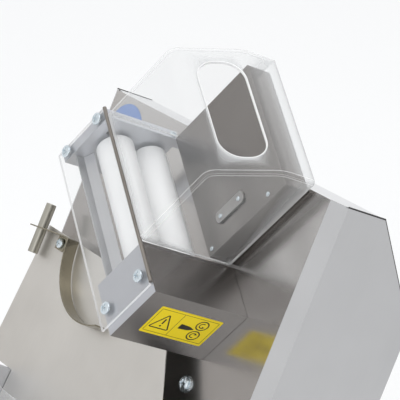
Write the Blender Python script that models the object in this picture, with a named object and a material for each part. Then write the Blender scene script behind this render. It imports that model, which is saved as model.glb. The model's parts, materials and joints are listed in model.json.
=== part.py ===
"""Two-stage dough roller: a leaning sheet-metal body, a tilted upper roller head with a clear hood,
a chute with a weighted rocker, and a level pair of lower rollers behind a clear guard.

All sizes are in millimetres and MM turns them into Blender's metres. The origin is on the floor under the
middle of the body, +X to the machine's right seen from its front, +Y to the back, +Z up.
"""

import math

import bmesh
import bpy
from mathutils import Matrix, Vector

for old in list(bpy.data.objects):
    bpy.data.objects.remove(old, do_unlink=True)

MM = 0.001
GAP = 0.3  # left between pieces that touch
SIDES = 48  # points round a gear, four to a tooth
ROUND = 24  # points round a plain turned piece

# Body
BODY_WIDTH = 470.0
CHAMFER_WIDTH = 18.0
PANEL_WIDTH = BODY_WIDTH - 2 * CHAMFER_WIDTH  # flat part of the front panel
SHEET = 1.5
SIDE_SHEET = 2.0
CHAMFER_DEPTH = 11.0  # from the flat of the front panel back to the side panel
LEAN = math.radians(25.5)  # of the front panel from vertical
CORNER_Y = 40.7  # the head's lower corner on the front panel
CORNER_Z = 391.0
CORNER_INSET = 53.5  # from that corner to the edge of the flat
PANEL_ABOVE_CORNER = 148.0
TOP_DEPTH = 62.0
BODY_DEPTH = 148.0  # square to the front panel, at its thickest
SHOULDER_U = 46.0  # where the rear cover turns down
FLOOR_GAP = 22.0
BASE_FRONT_Y = -150.0
BASE_REAR_Y = 175.0
APRON_HEIGHT = 70.0
PANEL_FOOT_Z = 92.0
REAR_FOOT_Z = 110.0
BASE_REAR_Z = 80.0
FOOT_RADIUS = 18.0
FOOT_INSET = 30.0
FOOT_Y = (-122.0, 150.0)

# Upper head: a runs along its rollers towards the high end, b up towards the feed, c into the body
HEAD_TILT = math.radians(34.5)
HEAD_DEPTH = 122.0
BOX_LENGTH = 65.0
BOX_HEIGHT = 78.5
BOX_SHEET = 2.0
HOPPER_LENGTH = 171.0
FAR_PLATE_A = BOX_LENGTH + HOPPER_LENGTH
FAR_PLATE_THICK = 12.0
FAR_PLATE_DEPTH = 97.0
BEARING_PLATE_THICK = 6.0
BEARING_PLATE_A = BOX_LENGTH - BEARING_PLATE_THICK - 1.5
NIP = 4.0  # between the rollers at their closest, with the knob turned back
ROLLER_RADIUS = 20.5
ROLLER_SPACING = 2 * ROLLER_RADIUS + NIP
ROLLER_B = -36.0
FRONT_ROLLER_C = 34.0
REAR_ROLLER_C = FRONT_ROLLER_C + ROLLER_SPACING
SHAFT_RADIUS = 6.0
BORE = SHAFT_RADIUS + GAP
NIP_TRAVEL = 3.5
GEAR_FACE = 10.0
GEAR_A = (BEARING_PLATE_A - 3.5 - GEAR_FACE, BEARING_PLATE_A - 3.5)
GEAR_DEDENDUM = 5.5
GEAR_ADDENDUM = 1.1
GEAR_ROOT = ROLLER_SPACING / 2 - GEAR_DEDENDUM
GEAR_TIP = ROLLER_SPACING / 2 + GEAR_ADDENDUM
BEVEL_REACH = 16.0  # from the crossing of the axes to a bevel gear's back
BEVEL_FACE = 7.0
BEVEL_TOOTH = 0.13  # tooth height over reach
BEVEL_A = 22.0  # where the head shaft crosses the rear roller's axis
HOOD_SHEET = 3.0
HOOD_FRONT_B = 115.0
HOOD_TOP_B = 146.0
HOOD_TOP_C = 74.0
HOOD_DEPTH = 115.0
HINGE_ROD_RADIUS = 2.2
FEED_LENGTH = 132.0
FEED_WIDTH = 54.0
COVER_LOW_B = -86.0
COVER_A = (10.0, FAR_PLATE_A + FAR_PLATE_THICK)
COVER_BOLT_B = (-14.0, -71.0)
BOLT_HEAD = 6.8
BOLT_RADIUS = 3.0
BACK_C = 90.0
BACK_B = (0.8, 129.0)
KNOB_RADIUS = 12.0

# Chute and rocker, in a frame whose x is the machine's, y runs up the chute and z out of it
CHUTE_EXTRA_LEAN = math.radians(5.5)
CHUTE_TOP_U = -26.0
CHUTE_STANDOFF = 20.0
CHUTE_LENGTH = 203.0
CHUTE_CUT_INSET = 106.5  # its top right corner, from the head's corner
CHUTE_CUT_SLOPE = 0.66
ROCKER_WIDTH = 16.0
ROCKER_SHEET = 1.5
ROCKER_RADIUS = 84.0
CHUTE_LEFT = -PANEL_WIDTH / 2
ROCKER_CENTRE = (CHUTE_LEFT + 155.5, 13.0)
ROCKER_TAB_X = (CHUTE_LEFT - 11.5, CHUTE_LEFT + 64.0)
ROCKER_TAB_Y = 1.7
ROCKER_TAB_FALL = 9.7
ROCKER_PIVOT = (CHUTE_LEFT + 42.5, -10.5)
WEIGHT_RADIUS = 6.0
WEIGHT_LENGTH = 60.0
WEIGHT_X = CHUTE_LEFT + 3.0

# Lower stage
LOWER_NIP_Y = -232.0
LOWER_NIP = 3.5
LOWER_TRAVEL = 3.0
LOWER_RADIUS = 21.0
LOWER_SPACING = 2 * LOWER_RADIUS + LOWER_NIP
LOWER_REAR_Z = -18.5
LOWER_FRONT_Z = LOWER_REAR_Z + LOWER_SPACING
LOWER_END_SPACE = 80.0  # from each end of these rollers out to the body's side
LOWER_LENGTH = BODY_WIDTH - 2 * LOWER_END_SPACE
CHEEK_X = LOWER_LENGTH / 2 + 3.0
CHEEK_THICK = 12.0
CHEEK_OUTER = CHEEK_X + CHEEK_THICK
CHEEK_TOP = 165.0  # down the chute from its top edge
LOWER_GEAR_X = (CHEEK_OUTER + 6.0, CHEEK_OUTER + 17.0)
LOWER_GEAR_ROOT = LOWER_SPACING / 2 - GEAR_DEDENDUM
LOWER_GEAR_TIP = LOWER_SPACING / 2 + GEAR_ADDENDUM
CHAIN_THICK = 5.0
LOWER_SPROCKET_X = (CHEEK_OUTER + 24.0, CHEEK_OUTER + 24.0 + CHAIN_THICK)
GEAR_COVER_X = CHEEK_OUTER + 37.0
GUARD_HINGE = (-172.0, 60.0)
GUARD_PIN = 3.0
GUARD_OUT = 80.0
GUARD_SHEET = 3.0

# Drive inside the body, in the front panel's frame
MOTOR_U = -235.0
MOTOR_N = -76.0
MOTOR_RADIUS = 55.0
UPPER_CHAIN_X = (LOWER_SPROCKET_X[0] - 2 * CHAIN_THICK, LOWER_SPROCKET_X[0] - CHAIN_THICK)
DRIVE_PLATE_THICK = 6.0
DRIVE_PLATE_X = UPPER_CHAIN_X[0] - DRIVE_PLATE_THICK - 13.0
MOTOR_LENGTH = 134.5
MOTOR_X = (DRIVE_PLATE_X - 0.5 - MOTOR_LENGTH, DRIVE_PLATE_X - 0.5)
CROSS_N = -50.0
SPROCKET_ROOT = 11.0
SPROCKET_TIP = 14.0
BUTTON_RADIUS = 9.0
BUTTON_INSETS = (85.0, 47.0)  # start and stop, from the body's right side


def material(name, colour, roughness, metallic=0.0, alpha=1.0):
    made = bpy.data.materials.new(name)
    made.use_nodes = True
    shader = made.node_tree.nodes["Principled BSDF"]
    shader.inputs["Base Color"].default_value = (*colour, 1.0)
    shader.inputs["Roughness"].default_value = roughness
    shader.inputs["Metallic"].default_value = metallic
    shader.inputs["Alpha"].default_value = alpha
    made.diffuse_color = (*colour, alpha)
    return made


steel = material("steel_sheet", (0.42, 0.42, 0.43), 0.3, 1.0)
satin = material("satin_steel", (0.5, 0.5, 0.5), 0.45, 1.0)
plate = material("milled_aluminium", (0.55, 0.56, 0.6), 0.4, 1.0)
zinc = material("zinc_plated_steel", (0.6, 0.63, 0.66), 0.25, 1.0)
dark = material("blackened_steel", (0.05, 0.05, 0.05), 0.45, 1.0)
white = material("white_polymer", (0.82, 0.82, 0.78), 0.4)
clear = material("clear_polycarbonate", (0.9, 0.93, 0.95), 0.05, 0.0, 0.25)
rubber = material("black_rubber", (0.02, 0.02, 0.02), 0.8)
black = material("black_plastic", (0.015, 0.015, 0.015), 0.35)
green = material("green_plastic", (0.02, 0.3, 0.06), 0.35)
red = material("red_plastic", (0.5, 0.01, 0.01), 0.35)


# Frames: an empty for each set of axes that pieces are drawn in


def frame(name, origin, x_axis, y_axis, z_axis):
    empty = bpy.data.objects.new(name, None)
    bpy.context.scene.collection.objects.link(empty)
    turn = Matrix((x_axis, y_axis, z_axis)).transposed().to_4x4()
    empty.matrix_world = Matrix.Translation(Vector(origin) * MM) @ turn
    return empty


X = Vector((1.0, 0.0, 0.0))
UP = Vector((0.0, math.sin(LEAN), math.cos(LEAN)))
OUT = X.cross(UP)
CORNER_X = PANEL_WIDTH / 2 - CORNER_INSET
CORNER = Vector((0.0, CORNER_Y, CORNER_Z))
HEAD_CORNER = CORNER + CORNER_X * X
ALONG = -math.cos(HEAD_TILT) * X + math.sin(HEAD_TILT) * UP
FEED = math.sin(HEAD_TILT) * X + math.cos(HEAD_TILT) * UP
CHUTE_LEAN = LEAN + CHUTE_EXTRA_LEAN
CHUTE_UP = Vector((0.0, math.sin(CHUTE_LEAN), math.cos(CHUTE_LEAN)))
CHUTE_ORIGIN = CORNER + CHUTE_TOP_U * UP + CHUTE_STANDOFF * OUT

world = frame("machine_frame", (0, 0, 0), X, (0, 1, 0), (0, 0, 1))
panel = frame("panel_frame", CORNER, X, UP, OUT)
head = frame("head_frame", HEAD_CORNER + HEAD_DEPTH * OUT, ALONG, FEED, -OUT)
chute = frame("chute_frame", CHUTE_ORIGIN, X, CHUTE_UP, X.cross(CHUTE_UP))
bpy.context.view_layer.update()


# Shapes. "order" says which axes an outline's two numbers and its thickness run along.

ORDERS = {"xyz": (0, 1, 2), "yzx": (1, 2, 0), "zxy": (2, 0, 1)}


def place(u, v, w, order):
    point = [0.0, 0.0, 0.0]
    for value, axis in zip((u, v, w), ORDERS[order]):
        point[axis] = value * MM
    return point


def finish(name, bm, parent, look, at=(0, 0, 0), smooth=False):
    """Links a bmesh as a named object under its frame. at is its own origin, in the frame's millimetres."""
    bmesh.ops.recalc_face_normals(bm, faces=bm.faces)
    bmesh.ops.translate(bm, verts=bm.verts, vec=-Vector(at) * MM)
    mesh = bpy.data.meshes.new(name)
    bm.to_mesh(mesh)
    bm.free()
    mesh.materials.append(look)
    if smooth:
        mesh.shade_smooth()
        mesh.set_sharp_from_angle(angle=math.radians(35))
    made = bpy.data.objects.new(name, mesh)
    bpy.context.scene.collection.objects.link(made)
    made.parent = parent
    made.location = Vector(at) * MM
    return made


def prism(outline, low, high, order="xyz"):
    """A solid of one closed outline, from low to high along the third axis."""
    bm = bmesh.new()
    bottom = [bm.verts.new(place(u, v, low, order)) for u, v in outline]
    top = [bm.verts.new(place(u, v, high, order)) for u, v in outline]
    bm.faces.new(bottom[::-1])
    bm.faces.new(top)
    for i, corner in enumerate(bottom):
        after = (i + 1) % len(outline)
        bm.faces.new((corner, bottom[after], top[after], top[i]))
    return bm


def loft(loops, bore=None):
    """Joins equal loops of points. Without a bore its ends are capped; with one, the last loop meets the
    first."""
    bm = bmesh.new()
    rings = [[bm.verts.new(Vector(point) * MM) for point in loop] for loop in loops]
    count = len(rings[0])
    pairs = list(zip(rings, rings[1:]))
    if bore is None:
        bm.faces.new(rings[0][::-1])
        bm.faces.new(rings[-1])
    else:
        pairs.append((rings[-1], rings[0]))
    for first, second in pairs:
        for i in range(count):
            after = (i + 1) % count
            bm.faces.new((first[i], first[after], second[after], second[i]))
    return bm


def circle(radius, count=ROUND, centre=(0.0, 0.0), turn=0.0):
    steps = (turn + 2 * math.pi * i / count for i in range(count))
    return [(centre[0] + radius * math.cos(t), centre[1] + radius * math.sin(t)) for t in steps]


def turned(stations, centre, order, bore=None, count=ROUND):
    """A turned piece: stations are (position along the axis, radius). centre is where the axis stands."""
    loops = [
        [place(*point, along, order) for point in circle(radius, count, centre)]
        for along, radius in stations
    ]
    if bore is not None:
        for along in (stations[-1][0], stations[0][0]):
            loops.append([place(*point, along, order) for point in circle(bore, count, centre)])
    return loft([[Vector(p) / MM for p in loop] for loop in loops], bore)


def toothed(stations, centre, order, bore=None, turn=0.0):
    """A turned piece with twelve teeth where a station's root and tip radii differ: (along, root, tip)."""

    def loop(along, root, tip):
        points = []
        for i in range(SIDES):
            step = i % 4
            share = (i - step) / 4 + (0.14, 0.36, 0.64, 0.86)[step]
            radius = tip if step in (1, 2) else root
            angle = turn + 2 * math.pi * share * 4 / SIDES
            points.append(
                place(
                    centre[0] + radius * math.cos(angle), centre[1] + radius * math.sin(angle), along, order
                )
            )
        return points

    loops = [loop(*station) for station in stations]
    if bore is not None:
        loops += [loop(stations[-1][0], bore, bore), loop(stations[0][0], bore, bore)]
    return loft([[Vector(p) / MM for p in loop] for loop in loops], bore)


def offset_line(points, distance):
    """The polyline moved to its left by distance, with mitred corners."""
    moved = []
    for i, point in enumerate(points):
        here = Vector(point)
        before = (here - Vector(points[i - 1])).normalized() if i else None
        after = (Vector(points[i + 1]) - here).normalized() if i + 1 < len(points) else None
        first = before or after
        second = after or before
        normal = (Vector((-first.y, first.x)) + Vector((-second.y, second.x))).normalized()
        scale = distance / normal.dot(Vector((-first.y, first.x)))
        moved.append(tuple(here + normal * scale))
    return moved


def folded(points, thick, low, high, order):
    """Sheet metal folded along the polyline, its thickness to the left of it."""
    return prism(points + offset_line(points, thick)[::-1], low, high, order)


def bar(low, high):
    outline = [(low[0], low[1]), (high[0], low[1]), (high[0], high[1]), (low[0], high[1])]
    return prism(outline, low[2], high[2])


def cut(target, bm, parent):
    """Takes a shape away from a piece. The shape stays in the file as a hidden guide."""
    tool = finish(target.name + "_cut_%d" % len(target.modifiers), bm, parent, dark)
    tool.hide_render = True
    tool.display_type = "WIRE"
    modifier = target.modifiers.new("cut", "BOOLEAN")
    modifier.operation = "DIFFERENCE"
    modifier.object = tool


def add(target, bm, parent):
    """Welds a shape onto a piece."""
    tool = finish(target.name + "_add_%d" % len(target.modifiers), bm, parent, dark)
    tool.hide_render = True
    tool.display_type = "WIRE"
    modifier = target.modifiers.new("weld", "BOOLEAN")
    modifier.operation = "UNION"
    modifier.object = tool


def rounded(low, high, radius, steps=5):
    """A rectangle with round corners, as an outline."""
    points = []
    corners = ((high[0], high[1], 0), (low[0], high[1], 1), (low[0], low[1], 2), (high[0], low[1], 3))
    for x, y, quarter in corners:
        inner = Vector((x, y)) - radius * Vector(((1, -1, -1, 1)[quarter], (1, 1, -1, -1)[quarter]))
        for i in range(steps + 1):
            angle = math.pi / 2 * (quarter + i / steps)
            points.append((inner.x + radius * math.cos(angle), inner.y + radius * math.sin(angle)))
    return points


def side_point(u, depth):
    """World (y, z) of a point u up the front panel from the head's corner and depth behind its face."""
    here = CORNER + u * UP - depth * OUT
    return (here.y, here.z)


def u_at_height(z, depth):
    return (z - CORNER_Z + depth * OUT.z) / UP.z


# Body: folded stainless sheets between two flat side panels

INNER_X = BODY_WIDTH / 2 - SIDE_SHEET - GAP
PANEL_FOOT_U = u_at_height(PANEL_FOOT_Z, 0)
panel_side_depth = CHAMFER_DEPTH * (INNER_X - PANEL_WIDTH / 2) / CHAMFER_WIDTH

front_panel = finish(
    "front_panel",
    folded(
        [
            (-panel_side_depth, -INNER_X),
            (0.0, -PANEL_WIDTH / 2),
            (0.0, PANEL_WIDTH / 2),
            (-panel_side_depth, INNER_X),
        ],
        SHEET,
        PANEL_FOOT_U,
        PANEL_ABOVE_CORNER,
        "zxy",
    ),
    panel,
    steel,
)

side_outline = [
    (BASE_FRONT_Y, FLOOR_GAP),
    (BASE_REAR_Y, FLOOR_GAP),
    (BASE_REAR_Y, BASE_REAR_Z),
    side_point(u_at_height(REAR_FOOT_Z, BODY_DEPTH), BODY_DEPTH),
    side_point(SHOULDER_U, BODY_DEPTH),
    side_point(PANEL_ABOVE_CORNER, TOP_DEPTH),
    side_point(PANEL_ABOVE_CORNER, CHAMFER_DEPTH),
    side_point(u_at_height(PANEL_FOOT_Z, CHAMFER_DEPTH), CHAMFER_DEPTH),
    (BASE_FRONT_Y, APRON_HEIGHT),
]
for side, name in ((-1, "side_panel_left"), (1, "side_panel_right")):
    faces = sorted((side * (BODY_WIDTH / 2 - SIDE_SHEET), side * BODY_WIDTH / 2))
    finish(name, prism(side_outline, *faces, "yzx"), world, satin)

top_front = SHEET + GAP
top_corner = CHAMFER_WIDTH / 2
finish(
    "top_cover",
    prism(
        [
            (-INNER_X, -TOP_DEPTH),
            (INNER_X, -TOP_DEPTH),
            (INNER_X, -panel_side_depth - 2 * top_front),
            (PANEL_WIDTH / 2 - top_corner, -top_front),
            (-PANEL_WIDTH / 2 + top_corner, -top_front),
            (-INNER_X, -panel_side_depth - 2 * top_front),
        ],
        -PANEL_ABOVE_CORNER,
        -PANEL_ABOVE_CORNER + SHEET,
    ),
    frame("top_frame", CORNER, X, OUT, -UP),
    satin,
)


def side_line(points):
    """Panel points (u, depth) as world (y, z)."""
    return [side_point(*point) for point in points]


rear_foot_u = u_at_height(REAR_FOOT_Z, BODY_DEPTH)
rear_cover = finish(
    "rear_cover",
    folded(
        side_line(
            [
                (rear_foot_u, BODY_DEPTH),
                (SHOULDER_U, BODY_DEPTH),
                (PANEL_ABOVE_CORNER - SHEET - GAP, TOP_DEPTH + 1.4),
            ]
        ),
        SHEET,
        -INNER_X,
        INNER_X,
        "yzx",
    ),
    world,
    satin,
)
for i in range(6):
    slot_u = -90.0 - 14.0 * i
    outline = rounded((-60.0, slot_u - 2.5), (60.0, slot_u + 2.5), 2.4, 3)
    slot = prism(outline, -BODY_DEPTH - 6, -BODY_DEPTH + 6)
    cut(rear_cover, slot, panel)

rear_foot = side_point(rear_foot_u, BODY_DEPTH)
base_cover = finish(
    "base_cover",
    folded(
        [
            (BASE_REAR_Y, FLOOR_GAP + SIDE_SHEET + 2 * GAP),
            (BASE_REAR_Y, BASE_REAR_Z),
            (rear_foot[0] + GAP, rear_foot[1] - 2 * GAP),
        ],
        SHEET,
        -INNER_X,
        INNER_X,
        "yzx",
    ),
    world,
    satin,
)
GLAND_X = 85.0 - BODY_WIDTH / 2
GLAND_Z = 50.0
GLAND_RADIUS = 8.0
gland_hole = [(BASE_REAR_Y - 8, GLAND_RADIUS + GAP), (BASE_REAR_Y + 8, GLAND_RADIUS + GAP)]
cut(base_cover, turned(gland_hole, (GLAND_Z, GLAND_X), "zxy"), world)
finish(
    "cable_gland",
    turned(
        [
            (BASE_REAR_Y - 12.0, GLAND_RADIUS),
            (BASE_REAR_Y + GAP, GLAND_RADIUS),
            (BASE_REAR_Y + GAP, GLAND_RADIUS + 4),
            (BASE_REAR_Y + 7, GLAND_RADIUS + 4),
            (BASE_REAR_Y + 16, GLAND_RADIUS - 1),
        ],
        (GLAND_Z, GLAND_X),
        "zxy",
        4.0,
        16,
    ),
    world,
    black,
    smooth=True,
)

apron_top = side_point(PANEL_FOOT_U, 0.0)
front_apron = finish(
    "front_apron",
    folded(
        [
            (BASE_FRONT_Y, FLOOR_GAP + SIDE_SHEET + 2 * GAP),
            (BASE_FRONT_Y, APRON_HEIGHT),
            (apron_top[0] - 4 * GAP, apron_top[1] - 4 * GAP),
        ],
        -SHEET,
        -INNER_X,
        INNER_X,
        "yzx",
    ),
    world,
    satin,
)
BUTTON_Z = 47.0
BUTTON_X = [BODY_WIDTH / 2 - inset for inset in BUTTON_INSETS]
for x in BUTTON_X:
    hole = turned(
        [(BASE_FRONT_Y - 5, BUTTON_RADIUS + GAP), (BASE_FRONT_Y + 5, BUTTON_RADIUS + GAP)],
        (BUTTON_Z, x),
        "zxy",
    )
    cut(front_apron, hole, world)
for x, name, look in zip(BUTTON_X, ("start_button", "stop_button"), (green, red)):
    finish(
        name,
        turned(
            [
                (BASE_FRONT_Y - 6.0, BUTTON_RADIUS - 1.0),
                (BASE_FRONT_Y - 5.0, BUTTON_RADIUS),
                (BASE_FRONT_Y + SHEET + GAP, BUTTON_RADIUS),
                (BASE_FRONT_Y + SHEET + GAP, BUTTON_RADIUS + 2),
                (BASE_FRONT_Y + SHEET + 4, BUTTON_RADIUS + 2),
            ],
            (BUTTON_Z, x),
            "zxy",
        ),
        world,
        look,
        at=(x, BASE_FRONT_Y, BUTTON_Z),
        smooth=True,
    )

finish(
    "bottom_plate",
    bar(
        (-INNER_X, BASE_FRONT_Y + SHEET + GAP, FLOOR_GAP),
        (INNER_X, BASE_REAR_Y - SHEET - GAP, FLOOR_GAP + SIDE_SHEET),
    ),
    world,
    satin,
)
FOOT_X = BODY_WIDTH / 2 - FOOT_INSET
for i, (x, y) in enumerate((x, y) for y in FOOT_Y for x in (-FOOT_X, FOOT_X)):
    finish(
        "foot_%d" % (i + 1),
        turned(
            [
                (0.0, FOOT_RADIUS - 2),
                (2.0, FOOT_RADIUS),
                (FLOOR_GAP - 3, FOOT_RADIUS - 4),
                (FLOOR_GAP - GAP, FOOT_RADIUS - 4),
            ],
            (x, y),
            "xyz",
            count=20,
        ),
        world,
        rubber,
        smooth=True,
    )

# Upper head

BEVEL_TIP = BEVEL_REACH * (1 + BEVEL_TOOTH)
BEVEL_ROOT = BEVEL_REACH * (1 - BEVEL_TOOTH)
BEVEL_SMALL = (BEVEL_REACH - BEVEL_FACE) / BEVEL_REACH
HEAD_SHAFT = HEAD_CORNER + BEVEL_A * ALONG + ROLLER_B * FEED - CORNER
HEAD_SHAFT_X = HEAD_SHAFT.dot(X)
HEAD_SHAFT_U = HEAD_SHAFT.dot(UP)
UPPER_BEVEL_N = HEAD_DEPTH - REAR_ROLLER_C
TOOTH = 2 * math.pi * 4 / SIDES

hole = turned([(-5.0, 10.0), (5.0, 10.0)], (HEAD_SHAFT_X, HEAD_SHAFT_U), "xyz")
cut(front_panel, hole, panel)

drive_box = finish(
    "drive_box",
    bar((0, -BOX_HEIGHT, 0), (BOX_LENGTH, 0, HEAD_DEPTH - GAP)),
    head,
    steel,
)
cut(
    drive_box,
    bar((BOX_SHEET, BOX_SHEET - BOX_HEIGHT, BOX_SHEET), (BOX_LENGTH + 5, -BOX_SHEET, HEAD_DEPTH + 5)),
    head,
)
BOX_BOLT_A = 29.0
THROUGH = 3.0  # how far a cutting tool stands past the face it cuts
for b in COVER_BOLT_B:
    bolt_hole = [(-THROUGH, BOLT_RADIUS + GAP), (BOX_SHEET + THROUGH, BOLT_RADIUS + GAP)]
    cut(drive_box, turned(bolt_hole, (BOX_BOLT_A, b), "xyz", count=12), head)

slide_half = 10.0  # of a sliding block, along its travel
slide_height = 12.0


def bearing_holes(target, low, high):
    """A round hole for the rear roller and a slot for the front roller's sliding block."""
    hole = [(low - THROUGH, BORE), (high + THROUGH, BORE)]
    cut(target, turned(hole, (ROLLER_B, REAR_ROLLER_C), "yzx"), head)
    cut(
        target,
        bar(
            (low - 3, ROLLER_B - slide_height - GAP, FRONT_ROLLER_C - slide_half - 2 * GAP),
            (high + 3, ROLLER_B + slide_height + GAP, FRONT_ROLLER_C + slide_half + NIP_TRAVEL + 2 * GAP),
        ),
        head,
    )


BEARING_PLATE_TOP = BEARING_PLATE_A + BEARING_PLATE_THICK
bearing_plate = finish(
    "bearing_plate",
    bar(
        (BEARING_PLATE_A, BOX_SHEET - BOX_HEIGHT + GAP, BOX_SHEET + GAP),
        (BEARING_PLATE_TOP, -BOX_SHEET - GAP, HEAD_DEPTH - 2 * GAP),
    ),
    head,
    plate,
)
bearing_holes(bearing_plate, BEARING_PLATE_A, BEARING_PLATE_TOP)

FAR_PLATE_TOP = FAR_PLATE_A + FAR_PLATE_THICK
KNOB_AXIS = (-22.0, 17.0)  # b and c
KNOB_SPINDLE = 3.0
far_plate = finish(
    "far_plate",
    bar((FAR_PLATE_A, -BOX_HEIGHT - 3, 0), (FAR_PLATE_TOP, -1, FAR_PLATE_DEPTH)),
    head,
    plate,
)
bearing_holes(far_plate, FAR_PLATE_A, FAR_PLATE_TOP)
spindle_hole = [(FAR_PLATE_A - THROUGH, KNOB_SPINDLE + GAP), (FAR_PLATE_TOP + THROUGH, KNOB_SPINDLE + GAP)]
cut(far_plate, turned(spindle_hole, KNOB_AXIS, "yzx"), head)
FAR_BOLT_A = FAR_PLATE_A + FAR_PLATE_THICK / 2
BOLT_END_C = 8.5
for b in COVER_BOLT_B:
    bolt_hole = [(-THROUGH, BOLT_RADIUS + GAP), (BOLT_END_C + 1.0, BOLT_RADIUS + GAP)]
    cut(far_plate, turned(bolt_hole, (FAR_BOLT_A, b), "xyz", count=12), head)
# two arms carry the far plate off the front panel, outside the feed
ARM_HALF = 4.0
for b in (-BOX_HEIGHT + 3, -11.0):
    arm_low = (FAR_PLATE_A + 2, b - ARM_HALF, FAR_PLATE_DEPTH - 1)
    arm = bar(arm_low, (FAR_PLATE_TOP - 2, b + ARM_HALF, HEAD_DEPTH - GAP))
    add(far_plate, arm, head)

BARREL_SPACE = 2.0  # from a plate to the end of a roller's barrel
BARREL_CHAMFER = 1.0
for name, at_c, low in (
    ("upper_rear_roller", REAR_ROLLER_C, BEVEL_A + BEVEL_REACH * BEVEL_SMALL),
    ("upper_front_roller", FRONT_ROLLER_C, GEAR_A[0] - 3),
):
    barrel = (BEARING_PLATE_TOP + BARREL_SPACE, FAR_PLATE_A - BARREL_SPACE)
    finish(
        name,
        turned(
            [
                (low, SHAFT_RADIUS),
                (barrel[0], SHAFT_RADIUS),
                (barrel[0], ROLLER_RADIUS - BARREL_CHAMFER),
                (barrel[0] + BARREL_CHAMFER, ROLLER_RADIUS),
                (barrel[1] - BARREL_CHAMFER, ROLLER_RADIUS),
                (barrel[1], ROLLER_RADIUS - BARREL_CHAMFER),
                (barrel[1], SHAFT_RADIUS),
                (FAR_PLATE_TOP - 2, SHAFT_RADIUS),
            ],
            (ROLLER_B, at_c),
            "yzx",
            count=28,
        ),
        head,
        white,
        at=(0, ROLLER_B, at_c),
        smooth=True,
    )

gear_stations = [(GEAR_A[0], GEAR_ROOT, GEAR_TIP), (GEAR_A[1], GEAR_ROOT, GEAR_TIP)]
for name, at_c, turn in (
    ("upper_rear_gear", REAR_ROLLER_C, 0.0),
    ("upper_front_gear", FRONT_ROLLER_C, TOOTH / 2),
):
    finish(
        name,
        toothed(gear_stations, (ROLLER_B, at_c), "yzx", BORE, turn),
        head,
        dark,
        at=(0, ROLLER_B, at_c),
    )


def bevel_stations(back, towards):
    """A bevel gear whose back is at back and whose teeth narrow towards the crossing of the axes."""
    small = back + towards * BEVEL_FACE
    return [
        (back, BEVEL_ROOT, BEVEL_TIP),
        (small, BEVEL_ROOT * BEVEL_SMALL, BEVEL_TIP * BEVEL_SMALL),
    ]


finish(
    "roller_bevel_gear",
    toothed(bevel_stations(BEVEL_A + BEVEL_REACH, -1), (ROLLER_B, REAR_ROLLER_C), "yzx", BORE, TOOTH / 2),
    head,
    dark,
    at=(0, ROLLER_B, REAR_ROLLER_C),
)
# the head shaft stands square to the front panel and turns on its own axis in the head's frame
finish(
    "head_bevel_gear",
    toothed(bevel_stations(REAR_ROLLER_C + BEVEL_REACH, -1), (BEVEL_A, ROLLER_B), "xyz", BORE),
    head,
    dark,
    at=(BEVEL_A, ROLLER_B, 0),
)
finish(
    "head_shaft",
    toothed(
        [
            (CROSS_N + BEVEL_REACH * BEVEL_SMALL, BEVEL_ROOT * BEVEL_SMALL, BEVEL_TIP * BEVEL_SMALL),
            (CROSS_N + BEVEL_REACH, BEVEL_ROOT, BEVEL_TIP),
            (CROSS_N + BEVEL_REACH, SHAFT_RADIUS, SHAFT_RADIUS),
            (UPPER_BEVEL_N - BEVEL_REACH * BEVEL_SMALL, SHAFT_RADIUS, SHAFT_RADIUS),
        ],
        (HEAD_SHAFT_X, HEAD_SHAFT_U),
        "xyz",
    ),
    panel,
    dark,
    at=(HEAD_SHAFT_X, HEAD_SHAFT_U, 0),
)

slider_low = {"gap_slider_near": (BEARING_PLATE_A + GAP, BEARING_PLATE_TOP - GAP)}
slider_low["gap_slider_far"] = (FAR_PLATE_A + GAP, FAR_PLATE_TOP - GAP)
for name, (low, high) in slider_low.items():
    block = finish(
        name,
        bar(
            (low, ROLLER_B - slide_height, FRONT_ROLLER_C - slide_half),
            (high, ROLLER_B + slide_height, FRONT_ROLLER_C + slide_half),
        ),
        head,
        plate,
        at=(low, ROLLER_B, FRONT_ROLLER_C),
    )
    block_hole = [(low - THROUGH, BORE), (high + THROUGH, BORE)]
    cut(block, turned(block_hole, (ROLLER_B, FRONT_ROLLER_C), "yzx"), head)


SPINDLE_LENGTH = 10.0
RIM = (1.0, 5.0)  # the knob's wide rim, above the face it turns against
GRIP = (5.5, 9.0)
GRIP_RADII = (KNOB_RADIUS - 1.5, KNOB_RADIUS - 2.5)
RIB_HALF = (1.6, KNOB_RADIUS - 4.0)
RIB_TOP = 10.5


def knob(name, parent, centre, face, outward, order):
    """A round grip knob with a pointer rib and a spindle; face is the plane it turns against."""
    stations = [
        (face - outward * SPINDLE_LENGTH, KNOB_SPINDLE),
        (face + outward * RIM[0], KNOB_SPINDLE),
        (face + outward * RIM[0], KNOB_RADIUS),
        (face + outward * RIM[1], KNOB_RADIUS),
        (face + outward * GRIP[0], GRIP_RADII[0]),
        (face + outward * GRIP[1], GRIP_RADII[1]),
    ]
    at = [0.0, 0.0, 0.0]
    for value, axis in zip(centre, ORDERS[order][:2]):
        at[axis] = value
    made = finish(name, turned(stations, centre, order), parent, black, at=at, smooth=True)
    corners = ((-1, -1), (1, -1), (1, 1), (-1, 1))
    rib = [(centre[0] + i * RIB_HALF[0], centre[1] + j * RIB_HALF[1]) for i, j in corners]
    ends = sorted((face + outward * (RIM[1] - 1), face + outward * RIB_TOP))
    add(made, prism(rib, *ends, order), parent)
    return made


knob("gap_knob", head, KNOB_AXIS, FAR_PLATE_TOP, 1, "yzx")

SCRAPER_B = ROLLER_B - ROLLER_RADIUS - 9.5
SCRAPER_LINE = [(SCRAPER_B, 4.0), (SCRAPER_B, 14.0), (SCRAPER_B + 11.0, 20.0)]
finish(
    "roller_scraper",
    folded(
        SCRAPER_LINE,
        SHEET,
        BOX_LENGTH + GAP,
        FAR_PLATE_A - GAP,
        "yzx",
    ),
    head,
    satin,
)

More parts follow.
